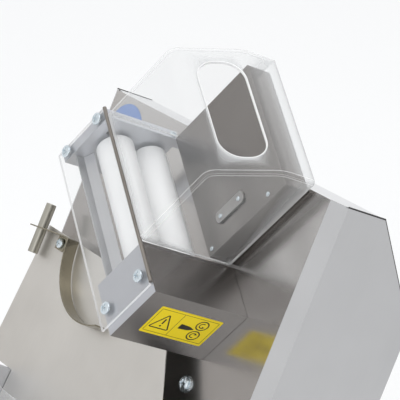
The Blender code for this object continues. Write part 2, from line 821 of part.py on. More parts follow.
BACK_A = (BOX_LENGTH + 3.4, FAR_PLATE_A - 1.5)
hopper_back = finish(
    "hopper_back",
    bar((BACK_A[0], BACK_B[0], BACK_C), (BACK_A[1], BACK_B[1], HEAD_DEPTH - GAP)),
    head,
    steel,
)
cut(
    hopper_back,
    bar(
        (BACK_A[0] + SHEET, BACK_B[0] + SHEET, BACK_C + SHEET),
        (BACK_A[1] - SHEET, BACK_B[1] - SHEET, HEAD_DEPTH + 5),
    ),
    head,
)
BRACKET_CORNER = (BACK_A[0] + 23.6, 27.0)
BRACKET_SIZE = (14.0, 45.0)
BRACKET_ROUND = 5.0
BRACKET_THICK = 2.5
bracket_end = (BRACKET_CORNER[0] + BRACKET_SIZE[0], BRACKET_CORNER[1] + BRACKET_SIZE[1])
bracket_outline = rounded(BRACKET_CORNER, bracket_end, BRACKET_ROUND, 3)
finish(
    "interlock_bracket",
    prism(bracket_outline, BACK_C - GAP - BRACKET_THICK, BACK_C - GAP),
    head,
    steel,
)

# Clear front cover, hinge rod and hood
HINGE_C = -HOOD_SHEET - GAP + 0.6
front_cover = finish(
    "front_cover",
    bar(
        (COVER_A[0], COVER_LOW_B, -GAP - HOOD_SHEET),
        (COVER_A[1], -HINGE_ROD_RADIUS - GAP - 0.1, -GAP),
    ),
    head,
    clear,
)
bolt_places = [(a, b) for a in (BOX_BOLT_A, FAR_BOLT_A) for b in COVER_BOLT_B]
head_face = -2 * GAP - HOOD_SHEET
BOLT_CROWN = 4.2  # the height of a bolt's domed head
for i, (a, b) in enumerate(bolt_places):
    bolt_hole = [(head_face - THROUGH, BOLT_RADIUS + GAP), (THROUGH, BOLT_RADIUS + GAP)]
    cut(front_cover, turned(bolt_hole, (a, b), "xyz", count=12), head)
    finish(
        "cover_bolt_%d" % (i + 1),
        turned(
            [
                (head_face - BOLT_CROWN, BOLT_HEAD * 0.55),
                (head_face - BOLT_CROWN + 1.0, BOLT_HEAD * 0.85),
                (head_face - 1.2, BOLT_HEAD),
                (head_face, BOLT_HEAD),
                (head_face, BOLT_RADIUS),
                (BOLT_END_C, BOLT_RADIUS),
            ],
            (a, b),
            "xyz",
            count=16,
        ),
        head,
        zinc,
        smooth=True,
    )
finish(
    "hood_hinge_rod",
    turned(
        [(COVER_A[0] + 2, HINGE_ROD_RADIUS), (COVER_A[1] - 1, HINGE_ROD_RADIUS)],
        (0.0, HINGE_C),
        "yzx",
        count=12,
    ),
    head,
    dark,
    smooth=True,
)
HOOD_LOW_B = HINGE_ROD_RADIUS + GAP + 0.1
HOOD_A = (BOX_LENGTH - 1.0, FAR_PLATE_A + 2.0)
hood_face = -GAP - HOOD_SHEET
hood_line = [
    (HOOD_LOW_B, hood_face),
    (HOOD_FRONT_B, hood_face),
    (HOOD_TOP_B, HOOD_TOP_C),
    (HOOD_TOP_B, HOOD_DEPTH),
]
hood = finish("hood", folded(hood_line, HOOD_SHEET, *HOOD_A, "yzx"), head, clear, at=(0, 0, HINGE_C))
end_outline = offset_line(hood_line, HOOD_SHEET * 0.6) + [(HOOD_LOW_B, HOOD_DEPTH)]
for low in (HOOD_A[0], HOOD_A[1] - HOOD_SHEET):
    add(hood, prism(end_outline, low, low + HOOD_SHEET, "yzx"), head)
slope = Vector((HOOD_TOP_B - HOOD_FRONT_B, HOOD_TOP_C - hood_face))
slope_length = slope.length
slope.normalize()
slope_frame_origin = HEAD_CORNER + HEAD_DEPTH * OUT + HOOD_FRONT_B * FEED - hood_face * OUT
slope_up = slope.x * FEED - slope.y * OUT
slope_frame = frame("hood_slope_frame", slope_frame_origin, ALONG, slope_up, ALONG.cross(slope_up))
FEED_ABOVE = 6.0  # the feed opening's middle stands this far above the slope's middle
FEED_ROUND = 24.0
feed_middle = (sum(HOOD_A) / 2, slope_length / 2 + FEED_ABOVE)
cut(
    hood,
    prism(
        rounded(
            (feed_middle[0] - FEED_LENGTH / 2, feed_middle[1] - FEED_WIDTH / 2),
            (feed_middle[0] + FEED_LENGTH / 2, feed_middle[1] + FEED_WIDTH / 2),
            FEED_ROUND,
        ),
        -HOOD_SHEET - THROUGH,
        HOOD_SHEET + THROUGH,
    ),
    slope_frame,
)

# Chute and rocker

CHUTE_CUT_TOP_X = CORNER_X - CHUTE_CUT_INSET
chute_right = CHEEK_X - 2 * GAP
cut_reach = (chute_right - CHUTE_CUT_TOP_X) / CHUTE_CUT_SLOPE
chute_plate = finish(
    "chute_plate",
    prism(
        [
            (CHUTE_LEFT, 0.0),
            (CHUTE_LEFT, 2 * GAP - CHEEK_TOP),
            (-chute_right, 2 * GAP - CHEEK_TOP),
            (-chute_right, -CHUTE_LENGTH),
            (chute_right, -CHUTE_LENGTH),
            (chute_right, -cut_reach),
            (CHUTE_CUT_TOP_X, 0.0),
        ],
        -SHEET,
        0.0,
    ),
    chute,
    satin,
)
STANDOFF_HALF = 8.0
for x in (CHUTE_LEFT + 30.0, CHUTE_CUT_TOP_X - 40.0):
    standoff = ((x - STANDOFF_HALF, -40.0, -CHUTE_STANDOFF + 4.0), (x + STANDOFF_HALF, -24.0, -SHEET / 2))
    add(chute_plate, bar(*standoff), chute)

rocker_low = 1.2
rocker_high = rocker_low + ROCKER_WIDTH
rocker_line = [(ROCKER_TAB_X[0], ROCKER_TAB_Y - ROCKER_TAB_FALL), (ROCKER_TAB_X[1], ROCKER_TAB_Y)]
ARC_FROM = math.radians(188.0)
ARC_TO = math.radians(296.0)
ARC_STEPS = 18
for i in range(ARC_STEPS + 1):
    angle = ARC_FROM + (ARC_TO - ARC_FROM) * i / ARC_STEPS
    rocker_line.append(
        (
            ROCKER_CENTRE[0] + ROCKER_RADIUS * math.cos(angle),
            ROCKER_CENTRE[1] + ROCKER_RADIUS * math.sin(angle),
        )
    )
rocker = finish(
    "rocker_arm",
    folded(rocker_line, -ROCKER_SHEET, rocker_low, rocker_high, "xyz"),
    chute,
    satin,
    at=(*ROCKER_PIVOT, 0),
)
tab_slope = ROCKER_TAB_FALL / (ROCKER_TAB_X[1] - ROCKER_TAB_X[0])


def tab_y(x):
    """The middle of the tab's strip, at x along the chute."""
    return ROCKER_TAB_Y - ROCKER_TAB_FALL + tab_slope * (x - ROCKER_TAB_X[0]) - ROCKER_SHEET / 2


# a lug under the tab takes the pivot
LUG = 8.0
LUG_THICK = 2.0
lug = [
    (ROCKER_PIVOT[0] - LUG - 2, tab_y(ROCKER_PIVOT[0] - LUG - 2)),
    (ROCKER_PIVOT[0] - LUG, ROCKER_PIVOT[1] - LUG),
    (ROCKER_PIVOT[0] + LUG, ROCKER_PIVOT[1] - LUG),
    (ROCKER_PIVOT[0] + LUG + 4, tab_y(ROCKER_PIVOT[0] + LUG + 4)),
]
add(rocker, prism(lug, rocker_low, rocker_low + LUG_THICK), chute)
PIVOT_RADIUS = 3.0
pivot_hole = [(-SHEET - THROUGH, PIVOT_RADIUS + GAP), (rocker_low + LUG_THICK + THROUGH, PIVOT_RADIUS + GAP)]
PIVOT_HEAD = 6.0
pivot_face = rocker_low + LUG_THICK + GAP
cut(rocker, turned(pivot_hole, ROCKER_PIVOT, "xyz", count=12), chute)
cut(chute_plate, turned(pivot_hole, ROCKER_PIVOT, "xyz", count=12), chute)
finish(
    "rocker_pivot_bolt",
    turned(
        [
            (-9.0, PIVOT_RADIUS),
            (pivot_face, PIVOT_RADIUS),
            (pivot_face, PIVOT_HEAD),
            (pivot_face + 3.3, PIVOT_HEAD),
            (pivot_face + 4.3, PIVOT_HEAD - 1.6),
        ],
        ROCKER_PIVOT,
        "xyz",
        count=16,
    ),
    chute,
    zinc,
    smooth=True,
)
weight_slope = math.atan(tab_slope)
weight_origin = CHUTE_ORIGIN + WEIGHT_X * X + tab_y(WEIGHT_X) * CHUTE_UP
weight_origin += (rocker_low + ROCKER_WIDTH / 2) * X.cross(CHUTE_UP)
weight_x = math.cos(weight_slope) * X + math.sin(weight_slope) * CHUTE_UP
weight_y = weight_x.cross(X.cross(CHUTE_UP)) * -1
weight_frame = frame("weight_frame", weight_origin, weight_x, weight_y, weight_x.cross(weight_y))
WEIGHT_CHAMFER = 0.8
finish(
    "rocker_weight",
    turned(
        [
            (-WEIGHT_LENGTH / 2, WEIGHT_RADIUS - WEIGHT_CHAMFER),
            (-WEIGHT_LENGTH / 2 + WEIGHT_CHAMFER, WEIGHT_RADIUS),
            (WEIGHT_LENGTH / 2 - WEIGHT_CHAMFER, WEIGHT_RADIUS),
            (WEIGHT_LENGTH / 2, WEIGHT_RADIUS - WEIGHT_CHAMFER),
        ],
        (0.0, 0.0),
        "zxy",
    ),
    weight_frame,
    zinc,
    smooth=True,
)
# the bar is pressed through a round hole in the tab
cut(
    rocker,
    turned([(-5.0, WEIGHT_RADIUS + GAP), (5.0, WEIGHT_RADIUS + GAP)], (0.0, 0.0), "zxy"),
    weight_frame,
)

# Lower stage

cos_extra = math.cos(CHUTE_EXTRA_LEAN)
sin_extra = math.sin(CHUTE_EXTRA_LEAN)


def panel_in_chute(y):
    """z of the front panel's face, in the chute's frame, at height y up the chute."""
    du = (y - CHUTE_STANDOFF * sin_extra) / cos_extra
    return du * sin_extra - CHUTE_STANDOFF * cos_extra


CHEEK_LOW = -292.0
CHEEK_OUT = 56.0
cheek_front = [(CHEEK_LOW + 30.0, CHEEK_OUT), (CHEEK_LOW, 30.0), (CHEEK_LOW, panel_in_chute(CHEEK_LOW) + 0.5)]
cheek_top = (-CHEEK_TOP, panel_in_chute(-CHEEK_TOP) + 0.5)
# an ear at the top of each cheek takes the guard's pin
cheek_outline = [
    cheek_top,
    (-CHEEK_TOP, GUARD_HINGE[1] + 4.0),
    (GUARD_HINGE[0] + 2.0, GUARD_HINGE[1] + 9.0),
    (GUARD_HINGE[0] - 9.0, GUARD_HINGE[1] + 9.0),
    (GUARD_HINGE[0] - 16.0, CHEEK_OUT),
    *cheek_front,
]
gear_cover_outline = [cheek_top, (-CHEEK_TOP, 30.0), (-CHEEK_TOP - 20.0, CHEEK_OUT), *cheek_front]


def lower_bearing(target, low, high):
    """A round hole for the rear roller and a slot for the front roller's sliding block."""
    hole = turned([(low - THROUGH, BORE), (high + THROUGH, BORE)], (LOWER_NIP_Y, LOWER_REAR_Z), "yzx")
    cut(target, hole, chute)
    cut(
        target,
        bar(
            (low - 3, LOWER_NIP_Y - slide_height - GAP, LOWER_FRONT_Z - slide_half - LOWER_TRAVEL - 2 * GAP),
            (high + 3, LOWER_NIP_Y + slide_height + GAP, LOWER_FRONT_Z + slide_half + 2 * GAP),
        ),
        chute,
    )


LOWER_KNOB = (LOWER_NIP_Y + 33.0, 34.0)
for side, name, slider in (
    (-1, "lower_cheek_left", "lower_slider_left"),
    (1, "lower_cheek_right", "lower_slider_right"),
):
    low, high = sorted((side * CHEEK_X, side * CHEEK_OUTER))
    cheek = finish(name, prism(cheek_outline, low, high, "yzx"), chute, plate)
    lower_bearing(cheek, low, high)
    pin_hole = [(low - THROUGH, GUARD_PIN + GAP), (high + THROUGH, GUARD_PIN + GAP)]
    cut(cheek, turned(pin_hole, GUARD_HINGE, "yzx", count=12), chute)
    if side < 0:
        spindle_hole = [(low - THROUGH, KNOB_SPINDLE + GAP), (high + THROUGH, KNOB_SPINDLE + GAP)]
        cut(cheek, turned(spindle_hole, LOWER_KNOB, "yzx"), chute)
    block = finish(
        slider,
        bar(
            (low + GAP, LOWER_NIP_Y - slide_height, LOWER_FRONT_Z - slide_half),
            (high - GAP, LOWER_NIP_Y + slide_height, LOWER_FRONT_Z + slide_half),
        ),
        chute,
        plate,
        at=(low, LOWER_NIP_Y, LOWER_FRONT_Z),
    )
    block_hole = [(low - THROUGH, BORE), (high + THROUGH, BORE)]
    cut(block, turned(block_hole, (LOWER_NIP_Y, LOWER_FRONT_Z), "yzx"), chute)
knob("lower_gap_knob", chute, LOWER_KNOB, -CHEEK_OUTER, -1, "yzx")

half = LOWER_LENGTH / 2
for name, at_z, reach in (
    ("lower_rear_roller", LOWER_REAR_Z, LOWER_SPROCKET_X[1]),
    ("lower_front_roller", LOWER_FRONT_Z, LOWER_GEAR_X[1] + 1),
):
    finish(
        name,
        turned(
            [
                (1 - CHEEK_OUTER, SHAFT_RADIUS),
                (-half, SHAFT_RADIUS),
                (-half, LOWER_RADIUS - BARREL_CHAMFER),
                (-half + BARREL_CHAMFER, LOWER_RADIUS),
                (half - BARREL_CHAMFER, LOWER_RADIUS),
                (half, LOWER_RADIUS - BARREL_CHAMFER),
                (half, SHAFT_RADIUS),
                (reach, SHAFT_RADIUS),
            ],
            (LOWER_NIP_Y, at_z),
            "yzx",
            count=28,
        ),
        chute,
        white,
        at=(0, LOWER_NIP_Y, at_z),
        smooth=True,
    )
hub = SHAFT_RADIUS + 3.0
finish(
    "lower_rear_gear",
    toothed(
        [
            (LOWER_GEAR_X[0], LOWER_GEAR_ROOT, LOWER_GEAR_TIP),
            (LOWER_GEAR_X[1], LOWER_GEAR_ROOT, LOWER_GEAR_TIP),
            (LOWER_GEAR_X[1], hub, hub),
            (LOWER_SPROCKET_X[0], hub, hub),
            (LOWER_SPROCKET_X[0], SPROCKET_ROOT, SPROCKET_TIP),
            (LOWER_SPROCKET_X[1], SPROCKET_ROOT, SPROCKET_TIP),
        ],
        (LOWER_NIP_Y, LOWER_REAR_Z),
        "yzx",
        BORE,
    ),
    chute,
    dark,
    at=(0, LOWER_NIP_Y, LOWER_REAR_Z),
)
finish(
    "lower_front_gear",
    toothed(
        [
            (LOWER_GEAR_X[0], LOWER_GEAR_ROOT, LOWER_GEAR_TIP),
            (LOWER_GEAR_X[1], LOWER_GEAR_ROOT, LOWER_GEAR_TIP),
        ],
        (LOWER_NIP_Y, LOWER_FRONT_Z),
        "yzx",
        BORE,
        TOOTH / 2,
    ),
    chute,
    dark,
    at=(0, LOWER_NIP_Y, LOWER_FRONT_Z),
)
COVER_LOW_X = CHEEK_OUTER + GAP
gear_cover = finish(
    "lower_gear_cover", prism(gear_cover_outline, COVER_LOW_X, GEAR_COVER_X, "yzx"), chute, steel
)
inner_line = offset_line(gear_cover_outline, SHEET)
inner_outline = [(inner_line[0][0], -60.0), *inner_line[1:-1], (inner_line[-1][0], -60.0)]
cut(gear_cover, prism(inner_outline, COVER_LOW_X - 5, GEAR_COVER_X - SHEET, "yzx"), chute)
window_u = LOWER_NIP_Y + CHUTE_TOP_U
cut(
    front_panel,
    bar((COVER_LOW_X + 3, window_u - 28, -6), (GEAR_COVER_X - 4, window_u + 32, 6)),
    panel,
)

guard_line = [
    (GUARD_HINGE[0], GUARD_HINGE[1]),
    (-198.0, GUARD_OUT),
    (-266.0, GUARD_OUT),
    (CHEEK_LOW, 58.0),
]
guard_half = CHEEK_X - 2.0
guard = finish(
    "lower_guard",
    folded(guard_line, GUARD_SHEET, -guard_half, guard_half, "yzx"),
    chute,
    clear,
    at=(0, *GUARD_HINGE),
)
for side in (-1, 1):
    pin_ends = sorted((side * (guard_half - 12), side * (CHEEK_OUTER - 1)))
    add(guard, turned([(end, GUARD_PIN) for end in pin_ends], GUARD_HINGE, "yzx", count=12), chute)

# the discharge plate leaves the front panel above its foot and slopes out over the apron
DISCHARGE_HALF = CHEEK_X - 8.0
DISCHARGE_STEPS = [(13.9, 39.0), (9.9, 36.0), (-48.1, 7.0), (-85.1, -6.0), (-91.1, -4.0)]
finish(
    "discharge_plate",
    folded(
        [(apron_top[0] + y, apron_top[1] + z) for y, z in DISCHARGE_STEPS],
        SHEET,
        -DISCHARGE_HALF,
        DISCHARGE_HALF,
        "yzx",
    ),
    world,
    satin,
)

# Drive: motor, chains and shafts inside the body

drive_plate = finish(
    "drive_side_plate",
    prism(
        [
            (PANEL_FOOT_U + 6, -5.0),
            (PANEL_FOOT_U + 6, -BODY_DEPTH + 20),
            (-60.0, -BODY_DEPTH + 6),
            (30.0, -BODY_DEPTH + 6),
            (30.0, -5.0),
        ],
        DRIVE_PLATE_X,
        DRIVE_PLATE_X + DRIVE_PLATE_THICK,
        "yzx",
    ),
    panel,
    plate,
)
MOTOR_AXIS = (MOTOR_U, MOTOR_N)
END_BELL = 6.0  # along the motor, at its far end
FIN_DEPTH = 4.0
FINS = 3
NOSE = 30.0  # along the motor, from the last fin to its shaft end
CROSS_AXIS = (HEAD_SHAFT_U, CROSS_N)
plate_ends = (DRIVE_PLATE_X - THROUGH, DRIVE_PLATE_X + DRIVE_PLATE_THICK + THROUGH)
for centre in (MOTOR_AXIS, CROSS_AXIS):
    cut(drive_plate, turned([(end, BORE) for end in plate_ends], centre, "yzx"), panel)
motor_stations = [(MOTOR_X[0], 30.0), (MOTOR_X[0] + END_BELL, MOTOR_RADIUS - FIN_DEPTH)]
fin_pitch = (MOTOR_X[1] - NOSE - MOTOR_X[0] - END_BELL) / FINS
for i in range(FINS):
    start = MOTOR_X[0] + END_BELL + fin_pitch * i
    motor_stations += [(start + 4.0, MOTOR_RADIUS - FIN_DEPTH), (start + 4.0, MOTOR_RADIUS)]
    motor_stations += [(start + fin_pitch, MOTOR_RADIUS), (start + fin_pitch, MOTOR_RADIUS - FIN_DEPTH)]
motor_stations += [(MOTOR_X[1] - 20, MOTOR_RADIUS - 15), (MOTOR_X[1], MOTOR_RADIUS - 15)]
motor = finish("motor", turned(motor_stations, MOTOR_AXIS, "yzx", count=20), panel, dark)
motor_bore = [(MOTOR_X[1] - 40, BORE), (MOTOR_X[1] + 5, BORE)]
cut(motor, turned(motor_bore, MOTOR_AXIS, "yzx"), panel)
finish(
    "motor_shaft",
    toothed(
        [
            (MOTOR_X[1] - 38, SHAFT_RADIUS, SHAFT_RADIUS),
            (UPPER_CHAIN_X[0], SHAFT_RADIUS, SHAFT_RADIUS),
            (UPPER_CHAIN_X[0], SPROCKET_ROOT, SPROCKET_TIP),
            (UPPER_CHAIN_X[1], SPROCKET_ROOT, SPROCKET_TIP),
            (UPPER_CHAIN_X[1], SHAFT_RADIUS, SHAFT_RADIUS),
            (LOWER_SPROCKET_X[0], SHAFT_RADIUS, SHAFT_RADIUS),
            (LOWER_SPROCKET_X[0], SPROCKET_ROOT, SPROCKET_TIP),
            (LOWER_SPROCKET_X[1], SPROCKET_ROOT, SPROCKET_TIP),
        ],
        MOTOR_AXIS,
        "yzx",
    ),
    panel,
    dark,
    at=(0, *MOTOR_AXIS),
)
finish(
    "cross_shaft",
    toothed(
        [
            (HEAD_SHAFT_X + BEVEL_REACH * BEVEL_SMALL, BEVEL_ROOT * BEVEL_SMALL, BEVEL_TIP * BEVEL_SMALL),
            (HEAD_SHAFT_X + BEVEL_REACH, BEVEL_ROOT, BEVEL_TIP),
            (HEAD_SHAFT_X + BEVEL_REACH, SHAFT_RADIUS, SHAFT_RADIUS),
            (UPPER_CHAIN_X[0], SHAFT_RADIUS, SHAFT_RADIUS),
            (UPPER_CHAIN_X[0], SPROCKET_ROOT, SPROCKET_TIP),
            (UPPER_CHAIN_X[1], SPROCKET_ROOT, SPROCKET_TIP),
        ],
        CROSS_AXIS,
        "yzx",
        turn=TOOTH / 2,
    ),
    panel,
    dark,
    at=(0, *CROSS_AXIS),
)


BEND_STEPS = 8


def chain(name, first, second, low, high):
    """A closed roller chain round two equal sprockets, as a flat band outside their tips."""
    start = Vector(first)
    run = Vector(second) - start
    heading = math.atan2(run.y, run.x)

    def loop(radius, along):
        points = []
        for centre, turn in ((Vector(second), -math.pi / 2), (start, math.pi / 2)):
            for i in range(BEND_STEPS + 1):
                angle = heading + turn + math.pi * i / BEND_STEPS
                point = centre + radius * Vector((math.cos(angle), math.sin(angle)))
                points.append(Vector(place(point.x, point.y, along, "yzx")) / MM)
        return points

    inner = SPROCKET_TIP + 0.5
    outer = inner + CHAIN_THICK
    loops = [loop(outer, low), loop(outer, high), loop(inner, high), loop(inner, low)]
    finish(name, loft(loops, True), panel, dark)


# the lower sprocket stands on the lower rear roller's axis, seen here from the front panel's frame
lower_axis = CHUTE_ORIGIN + LOWER_NIP_Y * CHUTE_UP + LOWER_REAR_Z * X.cross(CHUTE_UP) - CORNER
chain("upper_chain", MOTOR_AXIS, CROSS_AXIS, *UPPER_CHAIN_X)
chain("lower_chain", MOTOR_AXIS, (lower_axis.dot(UP), lower_axis.dot(OUT)), *LOWER_SPROCKET_X)
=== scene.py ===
import json
import math

import bmesh
import bpy
import numpy as np
from mathutils import Matrix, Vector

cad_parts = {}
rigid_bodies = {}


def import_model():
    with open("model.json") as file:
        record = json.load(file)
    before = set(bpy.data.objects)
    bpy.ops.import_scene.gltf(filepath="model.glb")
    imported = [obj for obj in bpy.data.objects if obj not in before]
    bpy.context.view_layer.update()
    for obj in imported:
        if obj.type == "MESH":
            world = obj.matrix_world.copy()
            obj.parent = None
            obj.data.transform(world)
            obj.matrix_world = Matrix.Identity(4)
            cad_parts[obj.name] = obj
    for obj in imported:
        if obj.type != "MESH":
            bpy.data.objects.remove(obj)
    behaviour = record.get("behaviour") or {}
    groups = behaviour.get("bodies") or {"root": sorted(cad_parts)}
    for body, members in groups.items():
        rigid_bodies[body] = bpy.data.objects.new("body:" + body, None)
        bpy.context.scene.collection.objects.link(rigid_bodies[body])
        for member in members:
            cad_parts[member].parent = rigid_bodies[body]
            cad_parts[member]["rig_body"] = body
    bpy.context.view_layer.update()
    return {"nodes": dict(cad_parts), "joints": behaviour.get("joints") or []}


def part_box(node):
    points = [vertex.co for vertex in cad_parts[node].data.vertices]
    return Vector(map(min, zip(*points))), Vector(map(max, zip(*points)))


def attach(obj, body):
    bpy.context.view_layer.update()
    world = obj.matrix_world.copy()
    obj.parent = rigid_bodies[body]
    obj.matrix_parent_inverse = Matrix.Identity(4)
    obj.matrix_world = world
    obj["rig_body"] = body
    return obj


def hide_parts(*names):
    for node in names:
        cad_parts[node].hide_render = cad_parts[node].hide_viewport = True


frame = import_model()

# ---------------------------------------------------------------------------------------------------
# Front panel. The machine's leaning face is one sheet of 1.5 mm stainless steel, folded back at both
# sides, with a fine upright brushing that stretches what it mirrors. It is spot-welded to the sides.

MM = 0.001
X = np.array((1.0, 0.0, 0.0))
NEARLY_ALONG = 0.9  # the cosine above which two directions are too near to each other to be crossed
joints = {joint["name"]: joint for joint in frame["joints"]}


def axis_of(joint):
    """The direction of a joint's axis."""
    return np.array(joints[joint]["axis"], float)


def place_of(joint):
    """A point on a joint's axis, in metres."""
    return np.array(joints[joint]["pos_m"], float)


def placed(origin, first, second, third):
    """A function that turns millimetres along three axes into metres in the machine's frame: the origin
    plus each number times its own axis. The numbers may be whole arrays."""

    def at(u, v, w):
        along = [np.multiply.outer(number, axis) for number, axis in ((u, first), (v, second), (w, third))]
        return origin + MM * (along[0] + along[1] + along[2])

    return at


INTO = -axis_of("head_shaft_spin")  # square into the leaning body
RISE = np.cross(-INTO, X)  # up the front panel
ALONG = axis_of("upper_rear_spin")  # along the upper rollers to their high end
FEED = np.cross(INTO, ALONG)  # from the upper rollers up to the feed opening
HINGE_AHEAD = 2.7  # the hood's hinge line, ahead of the head's front
HEAD_DEPTH = 122.0  # from the head's front to the front panel
# head() counts from the hinge along the upper head, panel() from the front panel's face
head = placed(place_of("hood_hinge") + HINGE_AHEAD * MM * INTO, ALONG, FEED, INTO)
panel = placed(head(0, 0, HEAD_DEPTH) * (1 - X), X, RISE, -INTO)


def linear(code):
    """A colour written as sRGB hex, turned linear: ((c + 0.055) / 1.055) to the power 2.4, and c / 12.92 in
    the darkest part."""
    shades = [int(code[i : i + 2], 16) / 255 for i in (1, 3, 5)]
    return (*(s / 12.92 if s <= 0.04045 else ((s + 0.055) / 1.055) ** 2.4 for s in shades), 1.0)


def add(tree, kind, inputs=(), **settings):
    """Adds one node. inputs are pairs of a socket and its value or the socket it is linked to, and settings
    are the node's own options."""
    made = tree.nodes.new("ShaderNode" + kind)
    for option, value in settings.items():
        setattr(made, option, value)
    for socket, value in inputs:
        if isinstance(value, bpy.types.NodeSocket):
            tree.links.new(value, made.inputs[socket])
        else:
            made.inputs[socket].default_value = value
    return made


def finish(name, **sockets):
    """A new material and its Principled shader, with the numbers that hold all over set on its sockets."""
    made = bpy.data.materials.new(name)
    made.use_nodes = True
    shader = made.node_tree.nodes["Principled BSDF"]
    for socket, value in sockets.items():
        shader.inputs[socket.replace("_", " ")].default_value = value
    return made, made.node_tree, shader


def turn_to(along):
    """The turn that brings +Z onto a direction, as Euler angles for a Mapping node."""
    side = np.cross(along, X if abs(along @ X) < NEARLY_ALONG else INTO)
    side = side / np.linalg.norm(side)
    return Matrix(np.array((side, np.cross(along, side), along)).T.tolist()).to_euler()


SCRATCH_WIDE = 1.6
SCRATCH_LONG = 150.0
SCRATCH_SHARE = 0.25
CLOUDS_PER_METRE = 14.0
NOISE_LOW, NOISE_HIGH = 0.3, 0.95  # what scratches and clouds add up to at their faintest and strongest


def brushed(name, light, dark, roughness, along, spread=0.09, blur=0.0, across=X):
    """Belt-brushed stainless steel: long fine scratches, so the gloss comes and goes in streaks along the
    brushing. Real scratches are under 0.1 mm wide, too fine to show here, so they are drawn 1.6 mm wide and
    150 mm long. Slow clouds 70 mm across are the handling and polishing marks of a large sheet."""
    made, tree, shader = finish(name, Metallic=1.0, Anisotropic=blur)
    place = add(tree, "TexCoord").outputs["Object"]
    size = (SCRATCH_WIDE * MM, SCRATCH_WIDE * MM, SCRATCH_LONG * MM)
    streaks = add(
        tree,
        "Mapping",
        [("Vector", place), ("Rotation", turn_to(along)), ("Scale", size)],
        vector_type="TEXTURE",
    )
    drawn = streaks.outputs["Vector"]
    scratch = add(tree, "TexNoise", [("Vector", drawn), ("Scale", 1.0), ("Detail", 3.0)])
    cloud = add(tree, "TexNoise", [("Vector", place), ("Scale", CLOUDS_PER_METRE), ("Detail", 2.0)])
    both = add(
        tree,
        "Math",
        [(0, scratch.outputs["Fac"]), (1, SCRATCH_SHARE), (2, cloud.outputs["Fac"])],
        operation="MULTIPLY_ADD",
    )
    colour = add(
        tree,
        "MapRange",
        [("Value", both.outputs["Value"]), ("From Min", NOISE_LOW), ("From Max", NOISE_HIGH)],
    )
    mix = add(
        tree,
        "Mix",
        [(0, colour.outputs["Result"]), (6, linear(dark)), (7, linear(light))],
        data_type="RGBA",
    )
    gloss = add(
        tree,
        "MapRange",
        [
            ("Value", both.outputs["Value"]),
            ("From Min", NOISE_LOW),
            ("From Max", NOISE_HIGH),
            ("To Min", roughness - spread / 2),
            ("To Max", roughness + spread / 2),
        ],
    )
    tree.links.new(mix.outputs[2], shader.inputs["Base Color"])
    tree.links.new(gloss.outputs["Result"], shader.inputs["Roughness"])
    if blur:
        tangent = add(tree, "CombineXYZ", [("X", across[0]), ("Y", across[1]), ("Z", across[2])])
        tree.links.new(tangent.outputs["Vector"], shader.inputs["Tangent"])
    return made


def settle(piece, node, *others):
    """The piece rides on its node's body and stands for the nodes named, which are hidden."""
    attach(piece, frame["nodes"][node]["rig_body"])
    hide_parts(node, *others)
    return piece


SAME_POINT = 0.002 * MM
SHARP_ANGLE = math.radians(30)
FLAT_ANGLE = math.radians(0.5)


def eased(node, suffix, look, width):
    """A piece with its edges broken as a maker leaves them: the node's triangles are merged, flat ones become
    one face, and every edge sharper than 30 degrees is rounded by width millimetres."""
    mesh = frame["nodes"][node].data.copy()
    if "custom_normal" in mesh.attributes:
        mesh.attributes.remove(mesh.attributes["custom_normal"])
    bm = bmesh.new()
    bm.from_mesh(mesh)
    bmesh.ops.remove_doubles(bm, verts=bm.verts, dist=SAME_POINT)
    bmesh.ops.dissolve_limit(bm, angle_limit=FLAT_ANGLE, verts=bm.verts, edges=bm.edges)
    bm.to_mesh(mesh)
    bm.free()
    mesh.materials.clear()
    mesh.materials.append(look)
    mesh.shade_smooth()
    mesh.set_sharp_from_angle(angle=SHARP_ANGLE)
    piece = bpy.data.objects.new(node + "_" + suffix, mesh)
    bpy.context.scene.collection.objects.link(piece)
    bevel = piece.modifiers.new("broken edges", "BEVEL")
    bevel.width = width * MM
    bevel.segments = 2
    bevel.limit_method = "ANGLE"
    bevel.harden_normals = True
    return settle(piece, node)


def points_of(node):
    """The points of a node's CAD mesh, in metres."""
    mesh = frame["nodes"][node].data
    points = np.empty(len(mesh.vertices) * 3, np.float32)
    mesh.vertices.foreach_get("co", points)
    return points.reshape(-1, 3).astype(float)


def refinish(piece, chosen, look):
    """Gives the faces that chosen picks, from their normals as a whole array, a second finish."""
    piece.data.materials.append(look)
    normals = np.empty(len(piece.data.polygons) * 3, np.float32)
    piece.data.polygons.foreach_get("normal", normals)
    slots = np.empty(len(piece.data.polygons), np.int32)
    piece.data.polygons.foreach_get("material_index", slots)
    slots[chosen(normals.reshape(-1, 3))] = len(piece.data.materials) - 1
    piece.data.polygons.foreach_set("material_index", slots)


panel_steel = brushed(
    "brushed_stainless_panel", "#c7c5c3", "#c0bdbb", roughness=0.22, along=RISE, spread=0.02, blur=0.3
)
front_panel = eased("front_panel", "sheet", panel_steel, width=0.12)

# ---------------------------------------------------------------------------------------------------
# Side panels and covers. Flat stainless sheets, 2 mm at the sides and 1.5 mm elsewhere, with a duller
# satin brushing than the front. They close the body and carry its drive.

